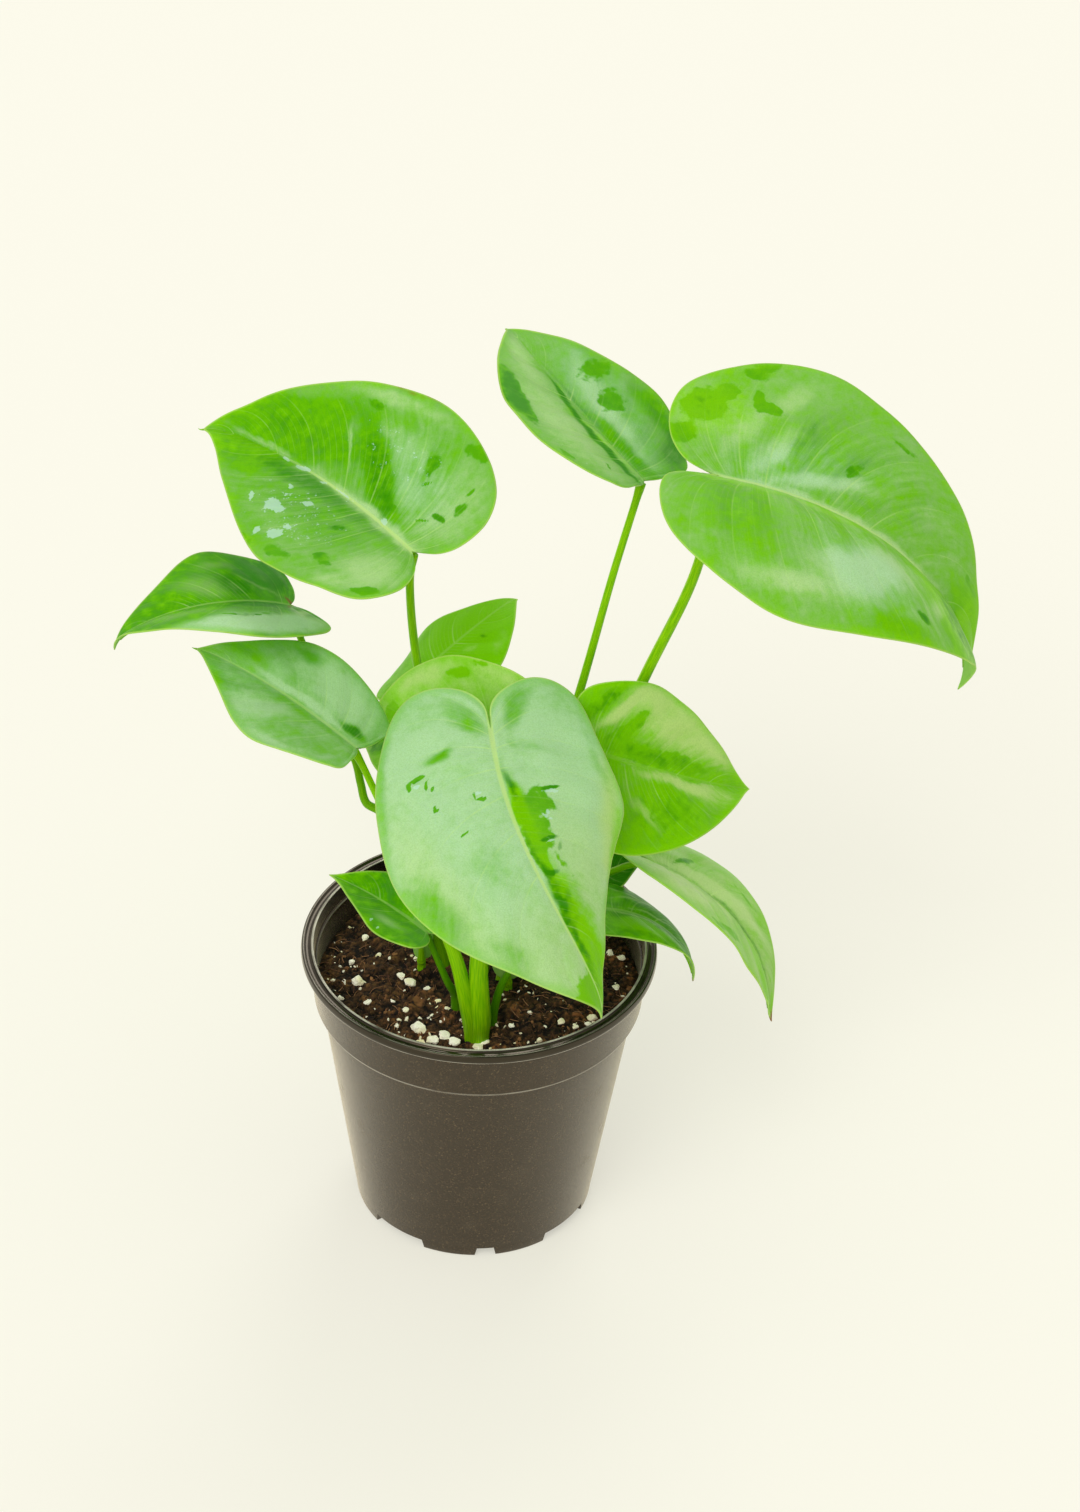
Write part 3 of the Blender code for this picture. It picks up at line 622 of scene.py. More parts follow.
# %% The body of soil
def make_soil(finish):
    radius = pot_inner_radius(SOIL_LEVEL) - GAP
    xs, ys = disc_grid(radius, SOIL_CELLS)
    points, light = [], []
    for x, y in zip(xs.ravel(), ys.ravel()):
        height, lit = crumbs(x, y)
        points.append((x, y, soil_height(x, y) + height))
        light.append(lit)
    index, faces = grid_faces(SOIL_CELLS + 1, SOIL_CELLS + 1)
    rim = [*index[:, 0], *index[-1, 1:], *index[-2::-1, -1], *index[0, -2:0:-1]]
    above = rim
    for z in (COLLAR_BOTTOM, COLLAR_BOTTOM - STEP_HEIGHT, FLOOR_TOP + GAP):
        ring = []
        for corner in rim:
            angle = math.atan2(points[corner][1], points[corner][0])
            reach = pot_inner_radius(z) - GAP
            ring.append(len(points))
            points.append((reach * math.cos(angle), reach * math.sin(angle), z))
        for k in range(len(rim)):
            after = (k + 1) % len(rim)
            faces.append((above[k], ring[k], ring[after], above[after]))
        above = ring
    faces.append(tuple(above))
    soil = new_piece("loose_potting_soil", points, faces, finish)
    face_outwards(soil)
    keep_numbers(soil, "lit", light + [0.5] * (len(points) - len(light)))
    return soil


print("the soil's top is a grid of", SOIL_CELLS, "by", SOIL_CELLS, "cells")

# %% [markdown]
# ### Peat and coir
#
# Moist peat is almost black and dried crumbs are a warm red-brown. The attribute from the relief,
# how far each spot stands out to the light, makes the hollows dark and the crumbs' tops red-brown:
# partly moist and dried peat, partly painted shade and painted light. Finer noise adds tan coir dust.

# %% Finish and make the soil
def moist_peat():
    """Peat and coir, matt: dark in the hollows and red-brown on the crumbs, partly painted shade and light.
    """
    finish, tree, shader, where = new_finish("moist_peat_and_coir", 0.92)
    fine = add(tree, NOISE, {}, where, 0.9 / MM, 4)
    patch = add(tree, NOISE, {}, where, 0.06 / MM, 2)
    lit = add(tree, ATTRIBUTE, {"attribute_name": "lit"}, out="Fac")
    high = add(tree, MATH, PLUS, lit, add(tree, MATH, TIMES_PLUS, fine, 0.7, -0.35))
    across = add(tree, "ShaderNodeSeparateXYZ", {}, where, out="X")
    right_side = add(tree, RANGE, SMOOTH, across, -0.03, 0.03)
    red = add(tree, MATH, TIMES_PLUS, right_side, 0.3, patch)
    # painted shade in the hollows and painted light on the crumbs' tops, along with moist and dried peat
    lit_and_dried = add(tree, RANGE, SMOOTH, high, 0.25, 0.66)
    colour = add(tree, MIX, COLOURS, lit_and_dried, srgb("140D07"), srgb("4A321C"))
    dry = add(tree, MIX, COLOURS, add(tree, RANGE, SMOOTH, red, 0.45, 0.8), srgb("77552F"), srgb("A4653C"))
    colour = add(tree, MIX, COLOURS, add(tree, RANGE, SMOOTH, high, 0.58, 0.98), colour, dry)
    dust = add(tree, RANGE, SMOOTH, add(tree, NOISE, {}, where, 2.6 / MM, 2), 0.66, 0.74)
    colour = add(tree, MIX, COLOURS, add(tree, MATH, TIMES, dust, 0.6), colour, srgb("A87E52"))
    bump = add(tree, BUMP, {}, Height=fine, Distance=0.4 * MM, Strength=0.8)
    fill(tree, shader, Base_Color=colour, Specular_IOR_Level=0.25, Normal=bump)
    return finish


soil = make_soil(moist_peat())
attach(soil, "root")
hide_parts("soil")
print("the soil has", triangles(soil), "triangles")

# %% [markdown]
# ### Grains scattered over the soil
#
# Perlite, crumbs and coir fibres are many small things of a few kinds, each placed at random on
# the surface. That is what Geometry Nodes are for. One tree scatters rough grains: it strews
# points over a coarse copy of the surface, sets a small ball on each, turns and stretches them by
# seeded draws, and then roughens all of them with noise. Its sizes are named inputs. The result
# is turned into a plain mesh at once, so nothing live is left.

# %% A Geometry Nodes tree for grains
def new_tree(name, inputs):
    """An empty tree with named inputs, what its first node gives and what its last one takes."""
    tree = bpy.data.node_groups.new(name, "GeometryNodeTree")
    tree.interface.new_socket("Geometry", in_out="INPUT", socket_type="NodeSocketGeometry")
    tree.interface.new_socket("Geometry", in_out="OUTPUT", socket_type="NodeSocketGeometry")
    for label, kind in inputs.items():
        tree.interface.new_socket(label, in_out="INPUT", socket_type="NodeSocket" + kind)
    start = tree.nodes.new("NodeGroupInput")
    end = tree.nodes.new("NodeGroupOutput")
    return tree, start.outputs, end.inputs


GRAIN_INPUTS = {"Density": "Float", "Smallest": "Float", "Largest": "Float", "Flatness": "Float",
                "Facets": "Int", "Seed": "Int", "Finish": "Material"}
THREE_NUMBERS = {"data_type": "FLOAT_VECTOR"}
ONE_NUMBER = {"data_type": "FLOAT"}
LUMPS = 1.4 * MM  # the noise that roughens a grain moves a point by half of this at most


def strewn_shapes(tree, given, shape, turn, scale):
    """The shape on points strewn over the surface, turned and scaled, as real geometry."""
    spots = add(tree, "GeometryNodeDistributePointsOnFaces", {}, Mesh=given["Geometry"],
                Density=given["Density"], Seed=given["Seed"])
    placed = add(tree, "GeometryNodeInstanceOnPoints", {}, Points=spots, Instance=shape, Rotation=turn,
                 Scale=scale)
    return add(tree, "GeometryNodeRealizeInstances", {}, placed)


def end_tree(tree, given, result, shapes):
    """Give the shapes their finish and hand them to the tree's last node."""
    dressed = add(tree, "GeometryNodeSetMaterial", {}, Geometry=shapes, Material=given["Finish"])
    tree.links.new(dressed, result["Geometry"])
    return tree


def grain_tree():
    tree, given, result = new_tree("scattered_grains", GRAIN_INPUTS)
    seed = given["Seed"]
    ball = add(tree, "GeometryNodeMeshIcoSphere", {}, Radius=0.5, Subdivisions=given["Facets"])
    turn = add(tree, "FunctionNodeRandomValue", THREE_NUMBERS, (0.0,) * 3, (math.tau,) * 3, Seed=seed)
    size = add(tree, "FunctionNodeRandomValue", ONE_NUMBER, given["Smallest"], given["Largest"], Seed=seed)
    stretch = add(tree, "FunctionNodeRandomValue", THREE_NUMBERS, (0.4, 0.5, 0.3), (1.5, 1.2, 0.9),
                  Seed=seed)
    scale = add(tree, VECTOR, {"operation": "SCALE"}, stretch, size)
    flat = add(tree, COMBINE, {}, 1.0, 1.0, given["Flatness"])
    shapes = strewn_shapes(tree, given, ball, turn, add(tree, VECTOR, TIMES, scale, flat))
    position = add(tree, "GeometryNodeInputPosition", {})
    lumps = add(tree, NOISE, {}, position, 0.7 / MM, 2.0, out="Color")
    push = add(tree, VECTOR, {"operation": "SCALE"}, add(tree, VECTOR, MINUS, lumps, (0.5,) * 3), LUMPS)
    return end_tree(tree, given, result, add(tree, "GeometryNodeSetPosition", {}, shapes, Offset=push))


grains = grain_tree()
print("the tree for grains has", len(grains.nodes), "nodes")

# %% A tree's result on the soil
def grown(name, emitter, tree, **values):
    """The tree's result on a copy of the emitter, as a plain mesh object at the origin."""
    carrier = bpy.data.objects.new(name, emitter.data)
    bpy.context.scene.collection.objects.link(carrier)
    modifier = carrier.modifiers.new("grow", "NODES")
    modifier.node_group = tree
    for label, value in values.items():
        modifier[tree.interface.items_tree[label].identifier] = value
    made = bpy.data.meshes.new_from_object(carrier.evaluated_get(bpy.context.evaluated_depsgraph_get()))
    carrier.modifiers.clear()
    carrier.data = made
    return carrier


def soil_skin(radius, cells):
    """A coarse copy of the soil's surface to strew things on."""
    xs, ys = disc_grid(radius, cells)
    points = [(x, y, soil_height(x, y) + crumbs(x, y)[0]) for x, y in zip(xs.ravel(), ys.ravel())]
    return new_piece("soil_skin", points, grid_faces(cells + 1, cells + 1)[1], None)


skin = soil_skin(pot_inner_radius(SOIL_LEVEL) - 2.0, 90)
print("the surface to strew on has", triangles(skin), "triangles")

# %% [markdown]
# ### Perlite, crumbs and coir
#
# Perlite is volcanic glass that was heated until it foamed: matt, chalky and very light, stained
# yellow-brown where it has taken up water. A faint painted glow makes it brighter all over, so that
# it stays pale in the leaves' shade, and stands for the light that goes through its thin bubbles.
# Crumbs are the soil's own bits. The fibres are coconut coir, thin, tan to red-brown and gently
# bent, so each is a short curve with a three-sided profile.

# %% Finishes for the mix
def chalky_perlite():
    """Chalky white foamed glass, pitted, with yellow-brown stains, painted pit shade and a faint painted
    glow.
    """
    finish, tree, shader, where = new_finish("chalky_white_perlite", 0.85)
    stain = add(tree, RANGE, SMOOTH, add(tree, NOISE, {}, where, 0.11 / MM, 3), 0.42, 0.68)
    pores = add(tree, NOISE, {}, where, 2.4 / MM, 3)
    colour = add(tree, MIX, COLOURS, stain, srgb("FFFDEE"), srgb("EDE5A4"))
    # painted shade: darker in the pits of the bump below
    hollow = add(tree, MATH, TIMES, add(tree, RANGE, SMOOTH, pores, 0.42, 0.3), 0.4)
    colour = add(tree, MIX, COLOURS, hollow, colour, srgb("A89C6C"))
    bump = add(tree, BUMP, {}, Height=pores, Distance=0.3 * MM, Strength=0.7)
    # a faint painted glow, brighter than the shade under the leaves would leave it
    fill(tree, shader, Base_Color=colour, Emission_Color=srgb("FFF2C4"), Emission_Strength=0.16,
         Normal=bump)
    return finish


def dry_crumb():
    """Dry bits of peat: matt and dark brown, tan here and there."""
    finish, tree, shader, where = new_finish("dry_peat_crumb", 0.95)
    tone = add(tree, NOISE, {}, where, 0.24 / MM, 2)
    brown = add(tree, RANGE, SMOOTH, tone, 0.35, 0.55)
    colour = add(tree, MIX, COLOURS, brown, srgb("20160E"), srgb("4A3019"))
    tan = add(tree, RANGE, SMOOTH, tone, 0.56, 0.68)
    colour = add(tree, MIX, COLOURS, tan, colour, srgb("96683F"))
    fill(tree, shader, Base_Color=colour)
    return finish


def coir():
    """Coconut fibre: dull, from red-brown to tan."""
    finish, tree, shader, where = new_finish("coir_fibre", 0.8)
    tone = add(tree, RANGE, SMOOTH, add(tree, NOISE, {}, where, 0.13 / MM, 2), 0.35, 0.65)
    fill(tree, shader, Base_Color=add(tree, MIX, COLOURS, tone, srgb("5A3218"), srgb("B5835A")))
    return finish


perlite_finish = chalky_perlite()
print("the finish of the perlite has", len(perlite_finish.node_tree.nodes), "nodes")

# %% A Geometry Nodes tree for fibres
FIBRE_INPUTS = {"Density": "Float", "Shortest": "Float", "Longest": "Float", "Seed": "Int",
                "Finish": "Material"}


def fibre_tree():
    tree, given, result = new_tree("scattered_fibres", FIBRE_INPUTS)
    seed = given["Seed"]
    arc = add(tree, "GeometryNodeCurveQuadraticBezier", {}, Resolution=5, Start=(-0.5, 0.0, -0.06),
              Middle=(0.0, 0.28, 0.16), End=(0.5, 0.0, -0.06))
    profile = add(tree, "GeometryNodeCurvePrimitiveCircle", {}, Resolution=3, Radius=0.026)
    strand = add(tree, "GeometryNodeCurveToMesh", {}, Curve=arc, Profile_Curve=profile, Fill_Caps=True)
    turn = add(tree, "FunctionNodeRandomValue", THREE_NUMBERS, (-0.5, -0.5, 0.0), (0.5, 0.5, math.tau),
               Seed=seed)
    size = add(tree, "FunctionNodeRandomValue", ONE_NUMBER, given["Shortest"], given["Longest"], Seed=seed)
    return end_tree(tree, given, result, strewn_shapes(tree, given, strand, turn, size))


fibres = fibre_tree()
print("the tree for fibres has", len(fibres.nodes), "nodes")

# %% Strew the mix
strewn = [
    grown("peat_crumbs", skin, grains, Density=260000.0, Smallest=0.5 * MM, Largest=1.9 * MM,
          Flatness=0.9, Facets=1, Seed=3, Finish=dry_crumb()),
    grown("fine_perlite", skin, grains, Density=30000.0, Smallest=0.4 * MM, Largest=1.8 * MM,
          Flatness=0.9, Facets=1, Seed=11, Finish=perlite_finish),
    grown("coir_fibres", skin, fibres, Density=60000.0, Shortest=2.0 * MM, Longest=6.5 * MM,
          Seed=5, Finish=coir()),
]
bpy.data.objects.remove(skin, do_unlink=True)
strewn[1].data.shade_flat()  # crushed perlite has flat facets
for piece in strewn:
    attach(piece, "root")
    print(piece.name, "has", triangles(piece), "triangles")

# %% [markdown]
# ### The large perlite chunks
#
# A few chunks are big enough to be known one by one, so they are placed where the photograph
# shows them, each as x, y and size in millimetres about the pot's axis. Crushed glass breaks into
# corners and flats. So each chunk is a small ball, stretched a little, that nine random planes cut
# flat, and noise then roughens it.

# %% Place the large chunks
CHUNKS = [
    (-18.2, -29.9, 4.6), (-17.0, -34.4, 3.1), (-13.3, -34.6, 3.0), (-9.8, -33.0, 3.5), (-6.6, -35.6, 2.8),
    (1.1, -37.0, 3.2), (3.2, -34.3, 3.0), (-24.8, -5.5, 2.4), (-22.1, -8.0, 3.2), (-16.2, -10.5, 2.0),
    (-12.5, -16.4, 1.7), (-9.4, -20.1, 1.7), (-38.3, -6.4, 3.6), (-32.7, 7.8, 2.0), (42.4, 13.4, 3.3),
    (45.7, 11.5, 2.4), (37.2, -21.8, 3.0), (-20.5, 4.8, 2.0), (-37.7, 16.2, 2.0), (-41.2, 4.6, 2.0),
    (-44.0, -13.4, 2.0), (-34.8, -16.4, 2.0), (-27.1, -16.7, 1.7), (-22.8, -21.1, 1.8), (11.5, -28.3, 1.7),
    (26.7, -25.7, 1.9), (31.6, -28.2, 1.7), (44.2, -4.6, 2.4), (20.6, -34.1, 2.0), (35.7, -26.2, 2.0),
]
CHUNK_FLATS = 9
FLAT_DEPTHS = (0.38, 0.9)  # how far from the middle a plane cuts, in radii
CHUNK_STRETCH = (0.75, 1.3)
CHUNK_SQUAT = 0.7
CHUNK_LIFT = 0.25  # height of the middle above the soil, in sizes
CHUNK_RADIUS = 0.64  # radius before the cuts, in sizes
CHUNK_ROUGHNESS = 0.22


def chunk_mesh(chunks, finish):
    dice = np.random.default_rng(8)
    shape = bmesh.new()
    for x, y, size in chunks:
        cuts = unit(dice.normal(size=(CHUNK_FLATS, 3)))
        depths = dice.uniform(*FLAT_DEPTHS, CHUNK_FLATS)
        stretch = dice.uniform(*CHUNK_STRETCH, 3) * (1, 1, CHUNK_SQUAT)
        made = bmesh.ops.create_icosphere(shape, subdivisions=3, radius=1.0)
        middle = Vector((x, y, soil_height(x, y) + CHUNK_LIFT * size))
        for vertex in made["verts"]:
            facing = cuts @ np.array(vertex.co)
            reach = min(1.0, float(np.min(depths / np.maximum(facing, 0.05))))
            reach *= 1 + CHUNK_ROUGHNESS * noise.noise(vertex.co * (0.6 * size) + middle)
            vertex.co = vertex.co * Vector(stretch) * (CHUNK_RADIUS * size * reach) + middle
    points = [tuple(v.co) for v in shape.verts]
    faces = [tuple(v.index for v in f.verts) for f in shape.faces]
    shape.free()
    piece = new_piece("perlite_chunks", points, faces, finish)
    piece.data.set_sharp_from_angle(angle=math.radians(22))
    return piece


perlite_chunks = chunk_mesh(CHUNKS, perlite_finish)
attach(perlite_chunks, "root")
print("the large chunks have", triangles(perlite_chunks), "triangles")

# %% [markdown]
# ## The leaves
#
# Each leaf is a row of facts: where its blade starts, how it is held and bent, its size, and the
# way its stalk takes. The solids were drawn from nearly the same facts, so the fine leaf lies
# where its solid does. A few are drawn closer here: how near the lobes come to each other, the way
# of the tallest stalk, and the place and size of the left leaf, which lies 3 mm from its solid.
# A leaf could be modelled by hand from a grid. A row of facts is chosen, because all the leaves
# grow by the same rule and differ only in these numbers.

# %% The facts of each leaf
@dataclass
class Leaf:
    name: str
    base: tuple  # the sinus, where the blade meets its stalk
    heading: float  # compass direction of the midrib at the base, from +X towards +Y
    pitch: float  # how steeply the midrib rises there
    roll: float  # lean of the blade about its midrib
    length: float  # sinus to tip, along the midrib
    width: float
    droop: float  # change of pitch from base to tip
    foot: tuple  # where the stalk leaves the soil
    way: tuple = ()  # points that the stalk passes through
    turn: float = 0.0  # change of heading from base to tip
    twist: float = 0.0  # change of roll from base to tip
    fold: float = 14.0  # each half rises from the midrib by this much
    curl: tuple = (-15.0, -15.0)  # bend of the left and the right half from midrib to margin
    lean: float = 0.0  # how much wider the right half is
    lobe: float = 0.14  # reach of the rounded lobes behind the sinus, in blade lengths
    belly: float = 0.22  # where the blade is widest, in blade lengths
    hook: float = 0.0  # extra change of pitch in the drawn-out tip
    notch: float = 0.13  # how far the lobes stay apart behind the sinus, in half widths
    cleft: float = 0.62  # how far back along the lobes they stay so near, in lobe reaches
    stalk: tuple = (2.3, 1.2)  # stalk radius at the soil and under the blade


LEAVES = (
    Leaf("leaf_front", (2, -14, 194), -81, -20, -4, 102, 81, -55, (1.6, -33),
         way=((0.5, -31.5, 119), (4, -21, 163)), turn=77, twist=-2, fold=0, curl=(-33, -37),
         lean=0.03, lobe=0.18, belly=0.30, hook=-17, notch=0.03, cleft=0.5, stalk=(3.2, 1.4)),
    Leaf("leaf_left", (-39.4, -4.6, 178), 150, 24, -16, 62.3, 50.5, -22, (-1.2, -32.8),
         way=((-3.4, -33, 105), (-8.1, -31.5, 123), (-21, -22, 146), (-34.5, -9.5, 168.5)),
         twist=38, fold=12, curl=(-23, -12), lean=0.02, lobe=0.045, belly=0.30, hook=-12, stalk=(2.6, 1.1)),
    Leaf("leaf_small_left", (-16, -24, 122), 137, 7, 3, 39, 31, 2, (-6.5, -20),
         way=((-9.5, -25, 104),), turn=22, twist=-3, fold=21, curl=(-13, -11),
         lobe=0.13, stalk=(1.7, 1.0)),
    Leaf("leaf_small_right", (35, -14, 126), 14, -7, 6, 49, 39, -77, (5.2, -26.5),
         way=((9.4, -26, 108), (24, -20, 124)), turn=-33, twist=18, fold=10, curl=(-24, -18),
         lobe=0.15, belly=0.19, hook=-8, stalk=(1.5, 1.0)),
    Leaf("leaf_top_left", (-24.4, 33, 226.5), 128, 6, 20, 102, 81, -13, (-5, 11),
         way=((-14, 25, 150), (-22.4, 35, 183), (-25, 33.5, 214)), turn=16, twist=17,
         fold=23, curl=(-11, -10), lean=0.03, belly=0.19, hook=-21, stalk=(2.6, 1.3)),
    Leaf("leaf_far_left", (-63, 42, 199), 213, 27, 0, 64, 52, -69, (-11, 3),
         way=((-32, 7, 145), (-37, 9.5, 147), (-39, 13, 152), (-41, 18, 157), (-59.5, 42, 186)), turn=-28,
         twist=-15, fold=18, curl=(-33, -14), lobe=0.08, belly=0.28, hook=-42, stalk=(2.2, 1.1)),
    Leaf("leaf_top_middle", (46, 40, 251), 139, 26, -20, 76, 60, -22, (7, 16),
         way=((28.5, 24, 180), (39, 33, 226)), turn=-25, twist=25, fold=18, curl=(-20, -16),
         lean=-0.04, lobe=0.04, belly=0.235, hook=-26, stalk=(2.4, 1.2)),
    Leaf("leaf_top_right", (68, 24, 263), -4, -9, 2, 121, 106, -77, (13, 10),
         way=((48.5, 23, 188), (63, 25, 228)), turn=16, twist=-17, fold=26, curl=(-8, -64),
         lean=0.08, lobe=0.147, belly=0.15, hook=-24, notch=0.08, stalk=(2.8, 1.6)),
    Leaf("leaf_back", (-27, 50, 163), 35, 33, 15, 53, 42, -38, (-2, 19),
         way=((-14, 36, 125),), turn=21, twist=-21, fold=1, curl=(-32, -28),
         lobe=0.15, belly=0.25, hook=-22, stalk=(2.0, 1.1)),
    Leaf("leaf_middle", (8.5, 2, 178), 157, -11, 51, 67, 52, -30, (1, 0),
         way=((7, 3, 130),), turn=-31, twist=13, fold=21, curl=(-9, -6),
         lobe=0.15, hook=-2, stalk=(2.4, 1.2)),
    Leaf("leaf_right", (31, 0, 178), 15, -28, -57, 70, 55, -2, (8, -4),
         way=((20, 0, 130),), turn=29, twist=3, fold=16, curl=(-15, -15),
         lean=0.07, lobe=0.126, belly=0.205, stalk=(2.3, 1.2)),
    Leaf("leaf_low_right", (52.5, 6, 131), -5, -23, 22, 77, 60, -72, (16, 3),
         way=((34, 9, 118), (44.5, 8, 126)), turn=-18, twist=-17, fold=12, curl=(-20, -16),
         lobe=0.145, belly=0.215, hook=24, stalk=(2.0, 1.1)),
    Leaf("leaf_young", (37, 17, 113), 12, 34, -35, 18, 14, -14, (20, 12),
         fold=24, curl=(-14, -14), lobe=0.10, stalk=(1.3, 0.9)),
    Leaf("sheath_left", (-18.5, 0, 93), -95, 82, 0, 19, 9, 8, (-18.5, 0.5),
         fold=30, curl=(20, 20), lobe=0.06, belly=0.30, stalk=(1.4, 1.1)),
    Leaf("sheath_right", (9.5, -9.5, 93), -90, 80, 0, 17, 14, 6, (9.5, -9),
         fold=30, curl=(20, 20), lobe=0.06, belly=0.30, stalk=(1.5, 1.2)),
)

# %% [markdown]
# ### The blade's outline and bend
#
# Half the heart is a curve from the sinus round a lobe, past the widest place and out to a long
# drip tip. A flat point of the blade is known by how far it lies along and across the midrib.
# The midrib is bent in space first. Then each half is rolled out beside it on an arc.

# %% Outline and bend
VEIN_SWEEP = 2.2  # how far the side veins leave the midrib before they reach the margin
LATE_DROOP = 1.3  # power that keeps the bend small near the base
HOOK_START = 0.82  # where the drawn-out tip starts, in blade lengths
HALF_WIDTH = 0.42  # of a usual half blade, in blade lengths
RIB_STEPS = 100


def half_outline(leaf, steps):
    """Margin of one half from sinus to tip: (along / length, across / half width), evenly spaced."""
    lobe, belly = leaf.lobe, leaf.belly
    behind_sinus = [(0, 0), (-leaf.cleft * lobe, leaf.notch), (-lobe, 0.40), (-0.62 * lobe, 0.74)]
    widest = [(0.5 * belly, 0.95), (belly + 0.06, 1.0), (0.33 + 0.62 * belly, 0.87)]
    drip_tip = [(0.72, 0.50), (0.88, 0.195), (0.955, 0.06), (1, 0)]
    curve = smooth_path(behind_sinus + widest + drip_tip, 24)
    run = run_along(curve, (1, HALF_WIDTH))
    even = np.linspace(0, run[-1], steps + 1)
    return np.column_stack([np.interp(even, run, curve[:, 0]), np.interp(even, run, curve[:, 1])])


def bent(leaf, along, across):
    """Places and upper normals of blade points, from how far they lie along and across the midrib."""
    run = np.linspace(0, leaf.length, RIB_STEPS + 1)
    part = run / leaf.length
    tipward = (np.clip(part - HOOK_START, 0, 1) / (1 - HOOK_START)) ** 2
    pitch = np.radians(leaf.pitch + leaf.droop * part**LATE_DROOP + leaf.hook * tipward)
    heading = np.radians(leaf.heading + leaf.turn * part**LATE_DROOP)
    roll = np.radians(leaf.roll + leaf.twist * part)
    ahead_level = np.cos(pitch)
    forward = np.column_stack([ahead_level * np.cos(heading), ahead_level * np.sin(heading), np.sin(pitch)])
    level = np.column_stack([np.sin(heading), -np.cos(heading), 0 * heading])
    over = np.cross(level, forward)
    right = np.cos(roll)[:, None] * level + np.sin(roll)[:, None] * over
    up = np.cross(right, forward)
    rib = np.zeros((RIB_STEPS + 1, 3))
    rib[1:] = np.cumsum((forward[1:] + forward[:-1]) / 2 * (leaf.length / RIB_STEPS), axis=0)

    def at(values):
        inside = np.clip(along, 0, leaf.length)
        return np.stack([np.interp(inside, run, values[:, axis]) for axis in range(3)], -1)

    start = at(rib) + np.minimum(along, 0)[..., None] * at(forward)
    left_curl, right_curl = leaf.curl
    fold = math.radians(leaf.fold)
    curl = np.radians(np.where(across < 0, left_curl, right_curl)) / (leaf.width / 2)
    curl = np.where(np.abs(curl) < 1e-5, 1e-5, curl)
    reach = np.abs(across)
    out = (np.sin(fold + curl * reach) - math.sin(fold)) / curl * np.sign(across)
    lift = (math.cos(fold) - np.cos(fold + curl * reach)) / curl
    places = np.array(leaf.base, float) + start + at(right) * out[..., None] + at(up) * lift[..., None]
    return places, at(up)


def grid_normals(grid):
    """Upper normals of a grid whose first and last row are drawn together in one point."""
    down = np.gradient(grid, axis=0)
    side = np.gradient(grid, axis=1)
    normals = np.cross(side, down)
    normals = normals / np.maximum(np.linalg.norm(normals, axis=-1, keepdims=True), 1e-9)
    normals[0] = unit(normals[1].mean(axis=0))
    normals[-1] = unit(normals[-2].mean(axis=0))
    return normals


print("half of the front leaf's outline has", len(half_outline(LEAVES[0], 40)), "points at 40 steps")

# %% [markdown]
# ### Light and dark in the green
#
# No leaf is one green. Young tissue is yellow-green, and some patches are a deeper green. Over the
# rest lies a pale mint sheen, painted into the colour, that stands for the glare of the soft boxes
# on the glossy leaf. Amounts say this at every point: the painted sheen; deep, partly the leaf's
# own deeper green and partly painted shade on folds and on leaves that stand in shade; fresh; wet
# for a crisp patch of deeper green where the painted sheen is left out, on wet places and round
# drops; brown for a dead spot; splash for painted glints on drops and films of water and the pale
# marks they leave; and streaks where fine pale lines of painted sheen run out from the midrib.
# Two more say how pale the midrib is and how cool the painted sheen. They are brushed on in soft
# oval strokes, each given by its place on the flat blade, its reach and its turn. A stroke keeps
# to its own half of the blade, since the halves face different ways and catch different light.
# Noise bends the strokes' edges, so that they don't read as ovals.

# %% Brush strokes on the blades
KINDS = ("wax", "deep", "fresh", "rib", "cool", "wet", "brown", "splash", "streaks")
# What each blade starts from: painted sheen, deep, fresh, how pale its midrib is and how cool its sheen.
BASE_PAINT = {
    "leaf_front": (0.80, 0.0, 0.3, 0.75, 1.0), "leaf_left": (0.46, 0.05, 0.3, 0.4, 0.9),
    "leaf_small_left": (0.05, 0.45, 0.4, 0.3, 0.5), "leaf_small_right": (0.0, 0.35, 0.5, 0.4, 0.2),
    "leaf_top_left": (0.29, 0.15, 0.25, 0.8, 0.5), "leaf_far_left": (0.05, 0.45, 0.3, 0.3, 0.2),
    "leaf_top_middle": (0.36, 0.25, 0.2, 0.0, 0.5), "leaf_top_right": (0.30, 0.08, 0.4, 0.65, 0.5),
    "leaf_back": (0.0, 0.05, 0.65, 0.2, 0.0), "leaf_middle": (0.38, 0.0, 1.5, 0.0, 0.0),
    "leaf_right": (0.04, 0.0, 0.65, 0.1, 0.0), "leaf_low_right": (0.44, 0.1, 0.6, 0.0, 0.2),
    # the young leaf's full deep green is painted shade: it stands behind the others
    "leaf_young": (0.0, 1.0, 0.0, 0.0, 0.0), "sheath_left": (0.1, 0.0, 0.8, 0.0, 0.0),
    "sheath_right": (0.35, 0.0, 0.6, 0.0, 0.0),
}
print("the front leaf starts with this much wax:", BASE_PAINT["leaf_front"][0])

